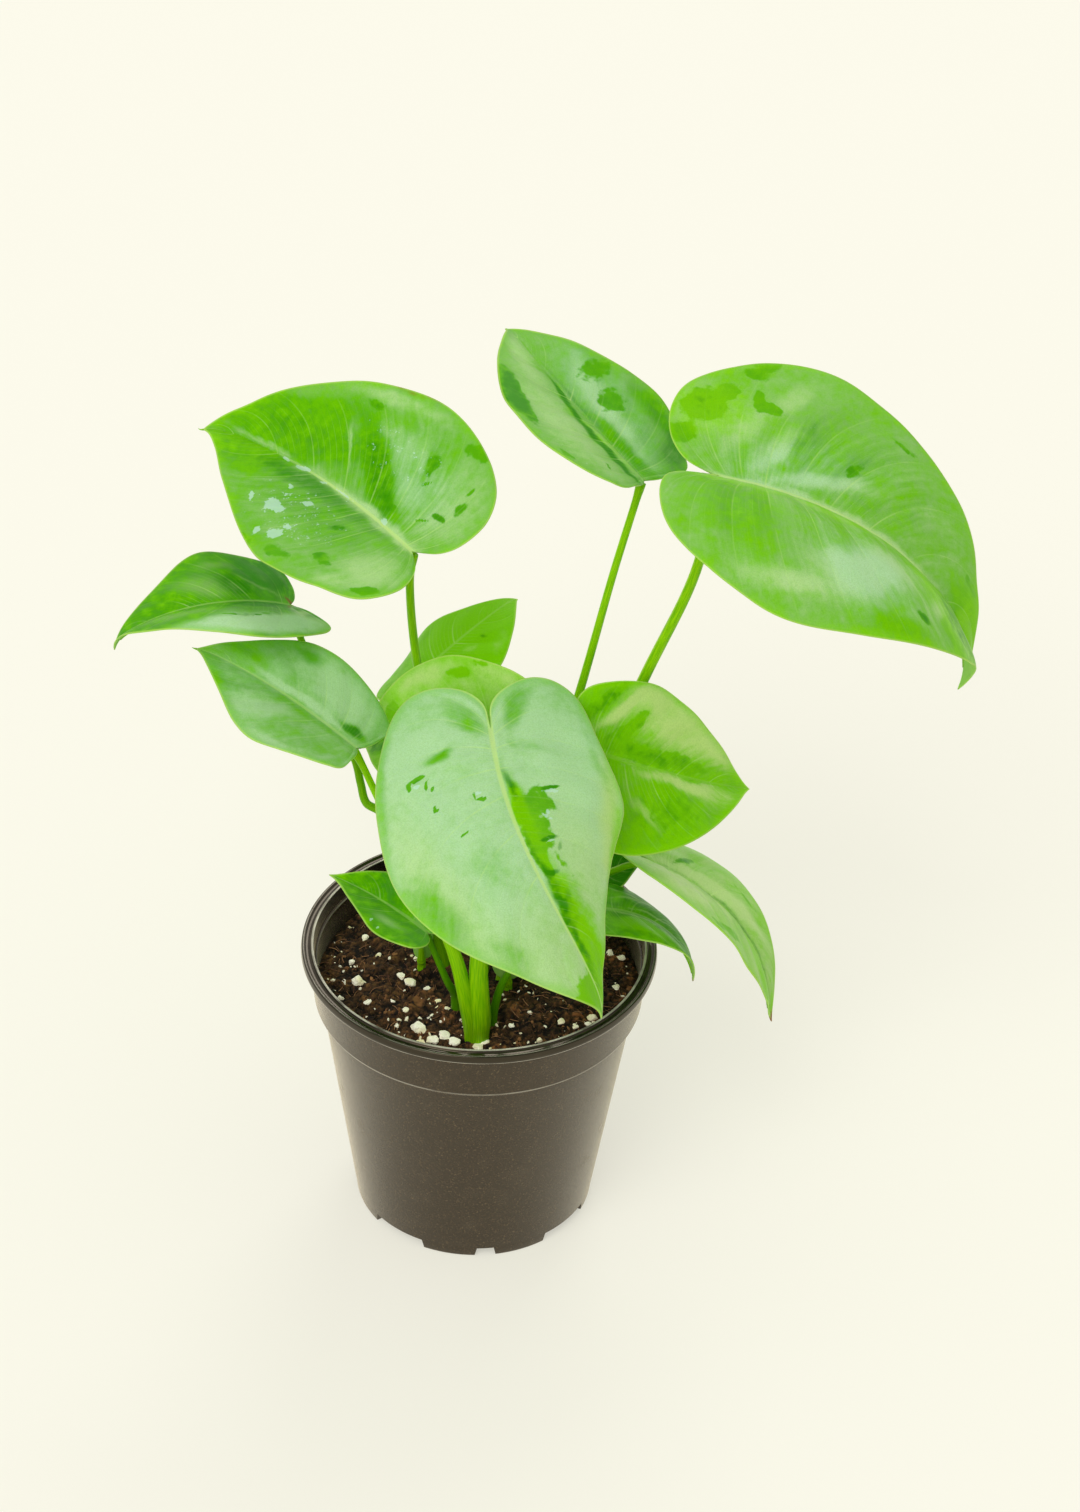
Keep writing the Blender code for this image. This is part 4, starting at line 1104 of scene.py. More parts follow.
# %% The strokes
# Each stroke: how far along the blade it lies, in hundredths of its length, and how far across, in
# hundredths of its half width, with the left half negative; half its length and half its breadth
# in hundredths of the blade's length; its turn from the midrib in degrees; and its strength.
STROKES = {
    "leaf_front": {
        "wet": ((34, -12, 11, 5, -3, 1), (27, -27, 5.5, 3, -25, 0.7), (47, -8, 8, 2.6, 3, 0.85),
            (50, -24, 5, 1, -12, 0.6), (94, 7, 12, 12, 0, 1.7), (6.5, 38, 3, 0.8, 75, 0.7),
            (13, 69, 1.2, 0.55, 0, 1.6), (11.8, 62, 0.6, 2, 10, 1.6), (14.5, 56, 1.6, 0.55, 20, 1.6),
            (16.2, 51, 0.9, 0.45, 30, 1.5), (22.2, 53, 1, 0.45, -10, 1.5), (31, 37, 0.45, 1.6, 0, 1.5),
            (22.2, 25, 1.2, 0.55, 0, 1.6), (23.2, 20, 0.55, 1.4, 0, 1.6), (23.5, -36, 0.8, 4, 0, 1.4)),
        "deep": ((20, -6, 8, 1.2, -5, 0.5), (60, -12, 12, 2.2, -3, 0.4), (66, -5, 24, 1.8, 1, 0.7),
            (30, -4, 30, 1, 0, 0.35), (-6, -16, 7, 1.4, 25, 0.3), (-3, 12, 5, 1.4, -45, 0.3),
            (52, 76, 8, 5, -18, 0.25), (13, 62, 2, 2, 0, 0.35), (23.5, -36, 0.65, 3.6, 0, 1.4),
            (39.5, -20, 0.65, 3, 0, 1.3), (43.5, -26, 2, 0.6, 20, 1.3), (50, -12, 0.6, 2.2, 10, 1)),
        "wax": ((27, -7, 12, 2.4, -4, -0.9), (70, -10, 20, 2.6, -2, -0.9), (62, -17, 20, 5, -8, -0.5),
            (78, -9, 18, 4.5, 0, -0.45), (66, -36, 22, 7, -5, -0.12), (90, -6, 16, 10, 0, -0.9),
            (-7, -20, 10, 3.5, 20, -0.55), (-4, 17, 9, 4, -40, -0.5), (7, 42, 5, 1.8, 75, -0.7),
            (8, -28, 10, 2, -70, -0.25), (42, 30, 7, 5, -20, -0.25), (30, -62, 30, 16, 0, 0.2),
            (-10, -55, 6, 10, 10, -0.2), (-10, 55, 6, 10, 10, -0.2), (48, 82, 12, 6, -18, -0.5),
            (65, 52, 7, 4, -25, -0.35), (55, -80, 28, 3.5, 12, -0.55), (15, -80, 20, 2.5, -8, -0.35),
            (10, 90, 20, 2, 12, -0.35)),
        "fresh": ((27, -7, 12, 2.4, -4, 0.7), (70, -10, 20, 2.6, -2, 0.8), (60, -17, 30, 8, -6, 0.5),
            (92, 0, 20, 25, 0, 1), (50, -85, 35, 5, 10, 0.6)),
        "streaks": ((60, -25, 28, 12, -8, 0.9), (50, 80, 28, 6, -14, 0.7)),
        "cool": ((62, -40, 32, 12, -5, -0.4), (75, 20, 20, 15, 0, -0.4), (50, 75, 30, 10, -10, -0.4),
            (45, -80, 40, 5, 8, -0.8)),
        "splash": ((21.2, 22, 0.4, 1.2, 0, 1.5), (13.8, 63, 0.4, 1.4, 20, 1.4),
            (17, 53, 0.8, 0.35, 30, 1.3), (24.8, -36, 0.45, 3, 8, 1.4), (31.8, -27, 1.2, 0.35, 0, 1.1),
            (33, -23.5, 0.35, 1.2, 40, 1), (34.5, -28, 0.35, 1, 0, 0.9), (40.5, -21, 0.35, 1.6, 0, 1.2)),
    },
    "leaf_top_right": {
        "wet": ((-6, -48, 5.5, 6, 10, 1.3), (-11, -26, 3.5, 3.5, 20, 1.2), (-1, -62, 3, 2.5, -20, 1.1),
            (7, -58, 1.8, 3.4, -10, 1.3), (11, -53, 2.5, 2, 20, 1.3), (6, -78, 5, 2, -20, 0.9),
            (43, -64, 4.5, 1.4, 10, 0.8), (33, -30, 3.6, 1.8, -50, 0.65), (76, -28, 3, 1.2, 10, 1),
            (8, -86, 3, 1.4, -20, 0.9), (56, 58, 3.2, 1.4, 0, 1)),
        "fresh": ((-5, -45, 10, 8, 0, 0.7), (90, -12, 10, 8, 0, 1), (18, 8, 24, 3.5, 0, 0.8),
            (50, 76, 12, 6, -20, 0.15), (72, 22, 16, 10, 0, 0.9)),
        "deep": ((-5, -50, 6, 5, 0, 0.2), (19, -40, 7, 3, -60, 0.25), (32, -30, 8, 2.5, -50, 0.25),
            (45, -18, 14, 3, -20, 0.2), (30, -52, 26, 13, -12, 0.15), (22, -50, 12, 5, -50, 0.1),
            (50, 77, 11, 4, -20, -0.3), (74, 22, 14, 9, 0, 0.4), (56, 58, 3, 1.2, 0, 0.6),
            (10, 45, 16, 12, 20, 0.15)),
        "wax": ((15, -64, 7, 2.2, -60, 0.3), (5, -36, 9, 3, -60, 0.25), (13, -25, 9, 3, -60, 0.5),
            (24, -14, 15, 2.2, -20, 0.5), (52, -82, 24, 1.8, 17, 1), (88, -12, 13, 8, 0, -0.7),
            (34, 62, 10, 7, -14, 0.6), (43, 40, 8, 7, -20, 0.45), (19, 86, 12, 3.5, -10, 0.4),
            (30, 0, 36, 1.3, 0, 0.6), (50, 77, 11, 4, -20, -0.3), (75, 25, 14, 10, -8, -1),
            (62, 38, 5, 3, -50, 0.5), (3, 45, 12, 10, 20, -0.2)),
        "streaks": ((24, -22, 26, 13, -20, 1.2), (55, -30, 28, 10, 0, 0.5), (30, 35, 45, 25, 0, 0.7),
            (70, 25, 14, 12, 0, 1.2)),
        "splash": ((20, -45, 22, 10, -30, 0.12),),
        "cool": ((38, 55, 14, 12, 0, 0.6), (20, -20, 20, 8, -20, 0.6)),
    },
    "leaf_top_left": {
        "wax": ((0, 45, 13, 14, 0, 0.25), (28, 30, 16, 5, 38, -0.6), (68, 24, 26, 8, -6, -0.9),
            (52, 55, 14, 4, -20, -0.25), (43, 36, 7, 0.6, 52, 0.5), (30, 50, 9, 5, 50, 0.3),
            (16, 32, 6, 4.5, 50, 0.25), (22, 60, 6, 4.5, 60, 0.3), (22, 0, 28, 2.2, 0, 0.7),
            (-2, -42, 10, 9, 0, 0.35), (2, -75, 6, 3, -30, 0.3), (50, -74, 22, 4, 12, -0.1),
            (38, 85, 18, 2.5, -12, 0.3), (80, -10, 20, 8, 0, -0.5), (75, 4, 15, 1.4, 3, 0.5)),
        "wet": ((20, 17, 7, 2, 16, 0.8), (-4, 50, 2, 3.4, 0, 0.8), (0, 33, 3.8, 1.1, 0, 0.9),
            (4.5, 23, 2.4, 0.6, -30, 1.2), (15, 60, 4.5, 2.2, 60, 0.85), (6, 90, 5.5, 2.8, -5, 0.9),
            (12, 47, 2.4, 0.5, -40, 1), (43, 73, 4.8, 1.8, -10, 0.85), (-2, 64, 1, 2, 0, 1),
            (12, -65, 4.5, 2.8, 0, 0.8), (26, -83, 8, 3, 0, 0.8), (22, -32, 2.8, 1.6, -40, 0.85),
            (-9, -60, 6, 2, -50, 0.9), (42, -86, 6, 1.8, 10, 0.8)),
        "deep": ((28, 30, 15, 4.5, 38, 0.5), (62, 24, 20, 5.5, -4, 0.2), (50, -12, 16, 4, -4, 0.35),
            (15, 60, 4, 1.8, 60, 0.4), (0, 33, 3, 0.9, 0, 0.5), (-4, 50, 1.6, 2.8, 0, 0.3),
            (43, 73, 4, 1.3, -10, 0.3), (35, -10, 30, 3.5, -2, 0.5), (30, -34, 28, 8, 0, 0.3),
            (12, -65, 3.6, 2.2, 0, 0.3), (22, -32, 3, 1.4, -40, 0.4)),
        "fresh": ((62, 28, 30, 12, 0, 0.1), (45, -80, 30, 5, 10, 0.1), (80, -12, 20, 8, 0, 0.2)),
        "rib": ((78, 0, 26, 5, 0, -0.8),),
        "cool": ((20, 40, 20, 14, 0, 0.5),),
        "brown": ((42, 93, 16, 0.4, -14, 0.5),),
        "streaks": ((20, 40, 25, 16, 30, 1.2), (28, -25, 32, 14, -10, 0.7), (65, 0, 25, 20, 0, 0.7)),
        "splash": ((46, -48, 3.4, 1.8, 10, 1.2), (35, -69, 2.2, 1.8, 0, 1.2),
            (41, -74, 1.8, 0.8, 50, 1.2), (34.5, -58, 1.4, 0.7, 20, 1.1), (39, -28, 1.8, 0.8, -20, 1.1),
            (49, -24, 1.2, 0.4, 20, 1.1), (57, -48, 1.6, 0.6, 50, 1.1), (54, 0, 3, 0.9, 0, 1.2),
            (62, -1, 2, 0.6, 0, 1.1), (44, -2, 1.6, 0.6, -30, 1.1), (34, 0, 6, 0.5, 0, 0.9),
            (16, 3, 1.4, 0.6, 20, 1), (36, -42, 26, 14, 0, 0.3), (26, 55, 24, 14, 0, 0.25)),
    },
    "leaf_right": {
        "wax": ((48, 11, 20, 3.4, 4, 0.8), (72, 16, 15, 5, 0, 0.5), (55, -56, 38, 13, 2, 0.85),
            (84, -30, 18, 5, 14, 0.6), (11, -56, 15, 3, -50, 0.75), (24, -80, 14, 6, -10, 0.6),
            (34, 55, 9, 2.8, 35, 0.55)),
        "deep": ((36, -15, 30, 5, 0, 0.35), (19, -42, 9, 3, -50, 0.5), (2, -60, 12, 3.5, -50, 0.5),
            (45, 48, 24, 12, -10, 0.25)),
        "wet": ((37, -14, 32, 4.5, 0, 1.1), (17, -36, 13, 3.4, -50, 1.1), (0, -58, 15, 3.3, -50, 1),
            (47, 48, 18, 7, -10, 0.7)),
        "streaks": ((45, 0, 50, 35, 0, 1.3),),
    },
    "leaf_middle": {
        "wet": ((26, 80, 7, 3.2, 0, 1), (14, 92, 7, 1.8, 0, 0.8), (78, -2, 9, 10, 0, 1.2),
            (66, 28, 7, 5, -30, 1)),
        "deep": ((80, -5, 10, 8, 0, 0.7),),
        "wax": ((45, 76, 16, 5, -20, 0.35), (5, 85, 12, 5, 30, 0.25)),
    },
    "leaf_left": {
        "wax": ((25, 55, 20, 12, 10, 0.5), (40, 12, 30, 2.4, 0, 0.6), (8, 18, 7, 3.5, 10, -0.8),
            (50, 66, 8, 4, -20, -0.4), (78, 20, 15, 8, 0, -0.3), (50, -45, 14, 8, -20, 0.35),
            (30, -90, 20, 3, 0, 0.3), (30, -12, 30, 3, 0, -0.2), (20, -55, 14, 10, 0, -0.1),
            (80, -30, 14, 6, 14, -0.2)),
        "deep": ((8, 18, 6, 2.8, 10, 0.9), (30, -8, 30, 1.5, 0, 0.15)),
        "fresh": ((80, 10, 20, 15, 0, 0.3),),
    },
    "leaf_top_middle": {
        "wax": ((36, 26, 30, 5.5, 5, 0.45), (25, 76, 20, 5, -5, -0.3), (16, 10, 20, 3, 0, -0.4),
            (16, -24, 17, 2, 4, -0.7), (43, -11, 17, 1.3, 13, -0.7), (30, -50, 32, 10, 8, 0.3),
            (74, -16, 15, 5, 10, 0.35)),
        "cool": ((36, 30, 35, 12, 5, 1),),
        "wet": ((39, 38, 7.5, 6.5, 20, 1), (56, 46, 6, 8, 0, 0.9), (49, -76, 13, 5.5, 22, 1.2),
            (62, -62, 11, 4.5, 20, 1.2), (42, -80, 4, 3, 0, 1), (18, -93, 4, 1.8, 0, 1),
            (8, -58, 3, 1, 30, 0.9)),
        "deep": ((5, 65, 8, 5, 60, 0.7), (45, 4, 22, 1, 0, 0.4), (15, -9, 18, 3, -8, -0.5),
            (16, -24, 17, 2, 4, 1.2), (43, -11, 17, 1.3, 13, 1.2), (49, -74, 10, 3.5, 22, 0.8),
            (60, -59, 8, 2.5, 20, 0.8), (5, 70, 20, 10, 30, 0.25), (20, -80, 12, 3, 0, -0.3)),
        "fresh": ((15, -9, 18, 3, -8, 0.9),),
        "splash": ((10, -75, 8, 5, 0, 0.2),),
    },
    "leaf_far_left": {
        "deep": ((8, 55, 13, 12, 60, 1), (28, 28, 9, 5, 20, 0.8), (20, -14, 15, 5, 0, 0.7),
            (35, -72, 42, 9, 0, -0.9), (33, -52, 13, 1, -5, 0.9)),
        "wax": ((46, 30, 15, 8, 20, 0.3), (30, 70, 12, 4, 0, 0.25), (15, 28, 12, 1, 40, 0.4),
            (35, -72, 42, 10, -4, 1), (2, -35, 8, 3, -45, 0.6), (60, -25, 20, 5, 10, 0.3)),
        "brown": ((0, 7, 3, 1.4, 40, 1), (5, -14, 6, 0.6, -55, 0.8)),
        "wet": ((26, -50, 9, 1, -20, 1), (42, -51, 6, 0.9, 25, 1), (58, -85, 14, 2.5, 12, 0.9)),
        "cool": ((35, -70, 45, 14, 0, 1),),
    },
    "leaf_low_right": {
        "wax": ((12, 45, 14, 12, 0, 0.8), (35, -20, 28, 5, -8, 0.7), (34, 15, 10, 4, 60, 0.35),
            (78, 25, 18, 10, 0, -0.45)),
        "wet": ((36, 76, 13, 3.5, -30, 0.9), (8, 14, 1.5, 5, 0, 1), (17, -36, 11, 2, -55, 1),
            (50, -56, 9, 2.5, 10, 0.6)),
        "fresh": ((80, 20, 22, 12, 0, 0.9),),
        "deep": ((17, -36, 11, 2, -55, 0.7), (45, -3, 40, 1, 0, 0.6), (40, 30, 20, 5, 10, 0.2)),
        "brown": ((100, 0, 3.5, 5, 0, 1.3),),
        "streaks": ((45, 0, 50, 30, 0, 1.3),),
    },
    "leaf_back": {
        "wax": ((60, 55, 10, 4, -30, 0.3), (45, 25, 5, 3, 0, 0.35)),
        "deep": ((56, 24, 3, 1, 60, 0.7),),
        "fresh": ((60, 0, 40, 30, 0, 0.3),),
    },
    "leaf_small_right": {
        "wax": ((30, -45, 18, 2, -20, 0.6), (30, 12, 22, 1.6, 6, 0.7), (45, -15, 25, 1.2, -8, 0.7),
            (35, -62, 25, 1.6, 10, 0.6)),
        "fresh": ((30, 50, 22, 10, 0, 0.8),),
        "deep": ((30, 50, 20, 8, 0, -0.5),),
        "brown": ((100, 0, 3, 4, 0, 1),),
        "streaks": ((45, 0, 50, 30, 0, 1.2),),
    },
    "leaf_small_left": {
        "deep": ((45, 40, 30, 14, 0, 0.1),),
        "splash": ((36, -80, 4, 0.8, -30, 1), (26, -88, 3, 0.8, -30, 1)),
        "wax": ((25, -50, 16, 6, -10, 0.5), (12, 10, 10, 3, 0, 0.4)),
    },
}
print("there are", sum(len(group) for kinds in STROKES.values() for group in kinds.values()), "strokes")

# %% Brush the strokes on
BEND_REACH = 1.6  # how far noise moves a stroke's edge, in millimetres
BEND_SIZE = 9.0
FINE_BEND_SIZE = 2.6
FINE_BEND_SHARE = 0.35
HALF_BLEND = 0.8  # width in which a stroke fades out at the midrib
ON_BOTH_HALVES = 4  # a stroke that lies nearer to the midrib than this covers both halves


def bends(leaf, along, across):
    """How far noise moves each of the blade's points before the strokes are laid on."""
    shift = np.zeros((*along.shape, 2))
    seed = 17.0 * LEAVES.index(leaf)
    for spot in np.ndindex(along.shape):
        at = Vector((along[spot] / BEND_SIZE, across[spot] / BEND_SIZE, seed))
        finer = Vector((along[spot] / FINE_BEND_SIZE, across[spot] / FINE_BEND_SIZE, seed + 5))
        bend = Vector((noise.noise(at), noise.noise(at + Vector((3, 7, 1)))))
        fine_bend = Vector((noise.noise(finer), noise.noise(finer + Vector((1, 4, 2)))))
        shift[spot] = bend + FINE_BEND_SHARE * fine_bend
    return BEND_REACH * shift


def painted(leaf, along, across):
    """Amounts of each kind of paint at the blade's points."""
    percent, ratio = leaf.length / 100, leaf.width / 2 / leaf.length
    amounts = {kind: np.zeros(along.shape) for kind in KINDS}
    for kind, value in zip(KINDS, BASE_PAINT[leaf.name]):
        amounts[kind] += value
    shift = bends(leaf, along, across)
    u = (along + shift[..., 0]) / percent
    v = (across + shift[..., 1]) / percent
    for kind, strokes in STROKES.get(leaf.name, {}).items():
        for at_along, at_across, long, wide, turn, strength in strokes:
            way = math.radians(turn)
            du, dv = u - at_along, v - at_across * ratio
            s = (du * math.cos(way) + dv * math.sin(way)) / long
            t = (dv * math.cos(way) - du * math.sin(way)) / wide
            own_half = 1.0
            if abs(at_across) > ON_BOTH_HALVES:
                own_half = np.clip(0.5 + math.copysign(1.0, at_across) * across / HALF_BLEND, 0, 1)
            amounts[kind] += strength * own_half * np.exp(-((s**2 + t**2) ** 1.5))
    return {kind: np.clip(values, 0, 1) for kind, values in amounts.items()}


front_middle = painted(LEAVES[0], np.full((1, 1), 51.0), np.zeros((1, 1)))
print("halfway along the front leaf's midrib the wax is", round(float(front_middle["wax"][0, 0]), 2))

# %% [markdown]
# ### A fine blade
#
# The blade is a closed sheet with an upper and a lower face. The midrib and the side veins are
# shallow channels on top and ridges underneath, so both faces are pressed down along them. The
# sheet thins towards its margin, and the margin waves a little. What the finish needs is kept for
# each point: the paint, and how far away the nearest vein, the midrib and the margin are.

# %% The grid and relief of a blade
GRID_SIZES = ((95, 220, 46), (45, 120, 24), (0, 72, 12))  # blades longer than, rows, columns to a half
BLADE_MIDDLE = 0.62  # thickness at the midrib
BLADE_MARGIN = 0.34
FULL_RELIEF = 80  # length of a blade from which on its relief is full
MIDRIB_CHANNEL, MIDRIB_CHANNEL_REACH = 0.2, 1.3
VEIN_CHANNEL, VEIN_CHANNEL_REACH = 0.12, 0.9
FEWEST_VEINS = 5
LENGTH_FOR_A_VEIN = 22
VEIN_PUFF = 0.32
PUFF_GAP, WIDEST_PUFF_GAP = 8, 10.4  # the blade puffs up between veins in step with their spacing
VEIN_ARCH = 0.09  # how far the side veins bow towards the tip, as a part of their count
MARGIN_WAVE = 0.55
MARGIN_WAVES = 5.5
BLADE_SWELL = 0.8
SWELL_LENGTH, SWELL_WIDTH = 15, 11


def fine_grid(leaf):
    """Measures of a fine blade grid: rows from sinus to tip, columns from left margin to right."""
    rows, half_columns = next(size[1:] for size in GRID_SIZES if leaf.length > size[0])
    outline = half_outline(leaf, rows)
    spread = np.linspace(-1, 1, 2 * half_columns + 1)
    t = np.linspace(0, 1, rows + 1)[:, None]
    along = (t**VEIN_SWEEP * (1 - abs(spread)) + outline[:, :1] * abs(spread)) * leaf.length
    half = leaf.width / 2 * np.where(spread < 0, 1 - leaf.lean, 1 + leaf.lean)
    across = outline[:, 1:] * spread * half
    return along, across, spread + 0 * t, t + 0 * spread


def blade_relief(leaf, middle, along, across, spread, t):
    """Height of channels, puffs and waves along the upper normal, with the vein count and spacing."""
    count = FEWEST_VEINS + leaf.length / LENGTH_FOR_A_VEIN
    vein = (t - VEIN_ARCH * spread**2) * count
    gap = np.linalg.norm(np.gradient(middle, axis=0), axis=-1) * (len(middle) - 1) / count
    from_vein = np.abs(vein - np.round(vein)) * gap
    from_rib = np.abs(across)
    size = min(leaf.length / FULL_RELIEF, 1.0)
    channel = MIDRIB_CHANNEL * np.exp(-((from_rib / MIDRIB_CHANNEL_REACH) ** 2)) * (1 - t) ** 0.4
    beside_rib = np.clip(from_rib / 6, 0, 1) * (1 - abs(spread) ** 5)
    grooves = VEIN_CHANNEL * np.exp(-((from_vein / VEIN_CHANNEL_REACH) ** 2)) * beside_rib
    puffs = VEIN_PUFF * 0.5 * (1 - np.cos(2 * math.pi * vein))
    puffs = puffs * np.clip(gap / PUFF_GAP, 0, WIDEST_PUFF_GAP / PUFF_GAP) * beside_rib
    phase = 2.1 * LEAVES.index(leaf)  # so that no two leaves wave alike
    wave = MARGIN_WAVE * np.sin(MARGIN_WAVES * math.pi * t + phase + spread)
    wave = wave * np.abs(spread) ** 3 * np.sin(math.pi * t)
    swell = np.zeros(along.shape)
    for spot in np.ndindex(along.shape):
        swell[spot] = noise.noise(Vector((along[spot] / SWELL_LENGTH, across[spot] / SWELL_WIDTH, phase)))
    swell *= BLADE_SWELL * np.clip(from_rib / 8, 0, 1)
    return size * (wave + puffs + swell - channel - grooves), vein, gap


print("the front leaf's blade is a grid of", fine_grid(LEAVES[0])[0].shape, "points on each face")

# %% A closed blade
def blade_faces(rows, columns):
    """Upper and lower faces and the margin's. The first and the last row are each one point."""
    index = np.arange(rows * columns).reshape(rows, columns)
    index[0, :] = index[0, 0]
    index[-1, :] = index[-1, 0]
    below = index + rows * columns
    faces = []
    for r in range(rows - 1):
        for c in range(columns - 1):
            corners = ((r, c), (r + 1, c), (r + 1, c + 1), (r, c + 1))
            top = tuple(dict.fromkeys(int(index[k]) for k in corners))
            if len(top) > 2:
                faces.append(top)
                faces.append(tuple(v + rows * columns for v in reversed(top)))
        for c, turned_way in ((0, 1), (columns - 1, -1)):
            strip = (index[r, c], below[r, c], below[r + 1, c], index[r + 1, c])[::turned_way]
            faces.append(tuple(int(v) for v in strip))
    return faces


def make_blade(leaf, finish):
    along, across, spread, t = fine_grid(leaf)
    middle, _ = bent(leaf, along, across)
    normals = grid_normals(middle)
    relief, vein, gap = blade_relief(leaf, middle, along, across, spread, t)
    thickness = BLADE_MIDDLE + (BLADE_MARGIN - BLADE_MIDDLE) * abs(spread)
    upper = middle + normals * (relief + thickness / 2)[..., None]
    lower = middle + normals * (relief - thickness / 2)[..., None]
    points = np.vstack([upper.reshape(-1, 3), lower.reshape(-1, 3)])
    blade = new_piece(leaf.name + "_fine", points, blade_faces(*spread.shape), finish)
    half = np.abs(across).max(axis=1, keepdims=True)
    side = 3 * np.tanh(across) + 9.0 * LEAVES.index(leaf)  # differs from half to half and leaf to leaf
    kept = {"vein": vein, "vein_gap": gap, "out": abs(spread), "side": side,
            "from_rib": np.abs(across), "from_edge": (1 - abs(spread)) * half,
            "tipward": along / leaf.length, **painted(leaf, along, across)}
    for name, values in kept.items():
        keep_numbers(blade, name, np.concatenate([values, values]))
    keep_numbers(blade, "underside", np.concatenate([0 * spread, 0 * spread + 1]))
    face_outwards(blade)
    return blade


print("a blade is", BLADE_MIDDLE, "mm thick at its midrib and", BLADE_MARGIN, "mm at its margin")

# %% [markdown]
# ### Stalk, knee and midrib
#
# A stalk leaves the soil straight, curves up to its blade and ends in a slightly swollen knee,
# where the leaf turns to the light. The midrib goes on from there under the blade. Both are round
# tubes along a path. A direction round the tube and the run along it are kept, so that the finish
# can draw its streaks lengthways. An old sheath wraps the two stalks in front, so they are let run
# into each other at the foot.

# %% Make a stalk
ROOTED_DEPTH = 16.0
STALK_TAPER = 2.2
STRAIGHT_START = 6.0
UPRIGHT = 1.5
KNEE = 1.3
SHEATHED = {"leaf_front": 0.7, "leaf_left": 0.5}  # extra radius where an old sheath wraps the stalk
SHEATH_REACH = 0.42
WAIST_DEPTH, WAIST_REACH = 1.6, 6.0  # depth in thicknesses of the sheath, reach in millimetres
# these stalks are painted a deeper green, partly as painted shade where they stand low or behind others
DARK_STALKS = {"leaf_small_left": 0.8, "leaf_small_right": 0.8, "leaf_far_left": 0.4, "leaf_young": 0.7}
MIDRIB_REACH = 0.93
MIDRIB_TIP_RADIUS = 0.3
MIDRIB_RINGS = 40
STALK_STEPS = 12
TUBE_SIDES = 18
HAIRS = {"leaf_top_left": 4.5, "leaf_top_middle": 3.0, "leaf_left": 2.0}  # their lengths
HAIR_RADII = (0.34, 0.08)
HAIR_BEND = 0.09


def tube(name, path, radii, finish):
    """A closed round tube along the path, its rings carried along without twisting."""
    path = np.asarray(path, float)
    tangents = unit(np.gradient(path, axis=0))
    side = unit(np.cross(tangents[0], (0.0, 1.0, 0.2)))
    points, round_way, run_way = [], [], []
    for centre, tangent, radius, run in zip(path, tangents, radii, run_along(path)):
        side = unit(side - tangent * (side @ tangent))
        over = np.cross(tangent, side)
        for k in range(TUBE_SIDES):
            angle = math.tau * k / TUBE_SIDES
            points.append(centre + radius * (math.cos(angle) * side + math.sin(angle) * over))
            round_way.append(math.cos(angle))
            run_way.append(run)
    faces = [tuple(range(TUBE_SIDES))]
    for ring in range(len(path) - 1):
        for k in range(TUBE_SIDES):
            a, b = ring * TUBE_SIDES + k, ring * TUBE_SIDES + (k + 1) % TUBE_SIDES
            faces.append((a, b, b + TUBE_SIDES, a + TUBE_SIDES))
    faces.append(tuple(range((len(path) - 1) * TUBE_SIDES, len(path) * TUBE_SIDES)))
    piece = new_piece(name, points, faces, finish)
    face_outwards(piece)
    keep_numbers(piece, "round_way", round_way)
    keep_numbers(piece, "run_way", run_way)
    return piece


def stalk_path(leaf, steps):
    """From the rooted end, straight through the soil, and on in one smooth curve to the blade."""
    x, y = leaf.foot
    start = np.array((x, y, soil_height(x, y)))
    to_next = np.array(leaf.way[0] if leaf.way else leaf.base, float) - start
    lean = unit(unit(to_next) + np.array((0, 0, UPRIGHT)))
    above = start + lean * min(STRAIGHT_START, 0.4 * np.linalg.norm(to_next))
    curve = smooth_path([start, above, *leaf.way, leaf.base], steps)
    return np.vstack([start - lean * ROOTED_DEPTH, start - lean * 2.0, curve])


def stalk_radii(leaf, path):
    """Thick at the soil, quickly slimmer, then level, swollen at the knee; a sheath leaves a waist."""
    run = run_along(path)
    part = np.clip((run - ROOTED_DEPTH) / (run[-1] - ROOTED_DEPTH), 0, 1)
    thick, thin = leaf.stalk
    knee = (KNEE - 1) * thin * np.exp(-(((run - run[-1]) / (3 * thin)) ** 2))
    wrapped = SHEATHED.get(leaf.name, 0.0)
    sheath = wrapped * np.exp(-((part / SHEATH_REACH) ** 4))
    above_soil = np.maximum(run - ROOTED_DEPTH, 0.0)
    waist = WAIST_DEPTH * wrapped * np.exp(-((above_soil / WAIST_REACH) ** 2))
    return thin + (thick - thin) * (1 - part) ** STALK_TAPER + knee + sheath - waist


front_stalk = stalk_path(LEAVES[0], STALK_STEPS)
print("with its root the front leaf's stalk is", round(run_along(front_stalk)[-1]), "mm long")

# %% The pieces of a leaf
def make_stalk(leaf, finish):
    """The stalk, led under the blade along its last span."""
    path = stalk_path(leaf, STALK_STEPS)
    _, up = bent(leaf, np.zeros(1), np.zeros(1))
    end = np.array(leaf.base, float) - up[0] * leaf.stalk[1]
    fade = np.linspace(0, 1, STALK_STEPS + 1)[:, None] ** 2
    path[-STALK_STEPS - 1:] += fade * (end - path[-1])
    stalk = tube("stalk", path, stalk_radii(leaf, path), finish)
    keep_numbers(stalk, "deep", np.full(len(stalk.data.vertices), DARK_STALKS.get(leaf.name, 0.0)))
    return stalk


def make_midrib(leaf, finish):
    along = np.linspace(0.0, MIDRIB_REACH * leaf.length, MIDRIB_RINGS)
    places, up = bent(leaf, along, 0 * along)
    radii = np.linspace(leaf.stalk[1] * 1.05, MIDRIB_TIP_RADIUS, MIDRIB_RINGS)
    return tube("midrib", places - up * (radii * 0.95)[:, None], radii, finish)


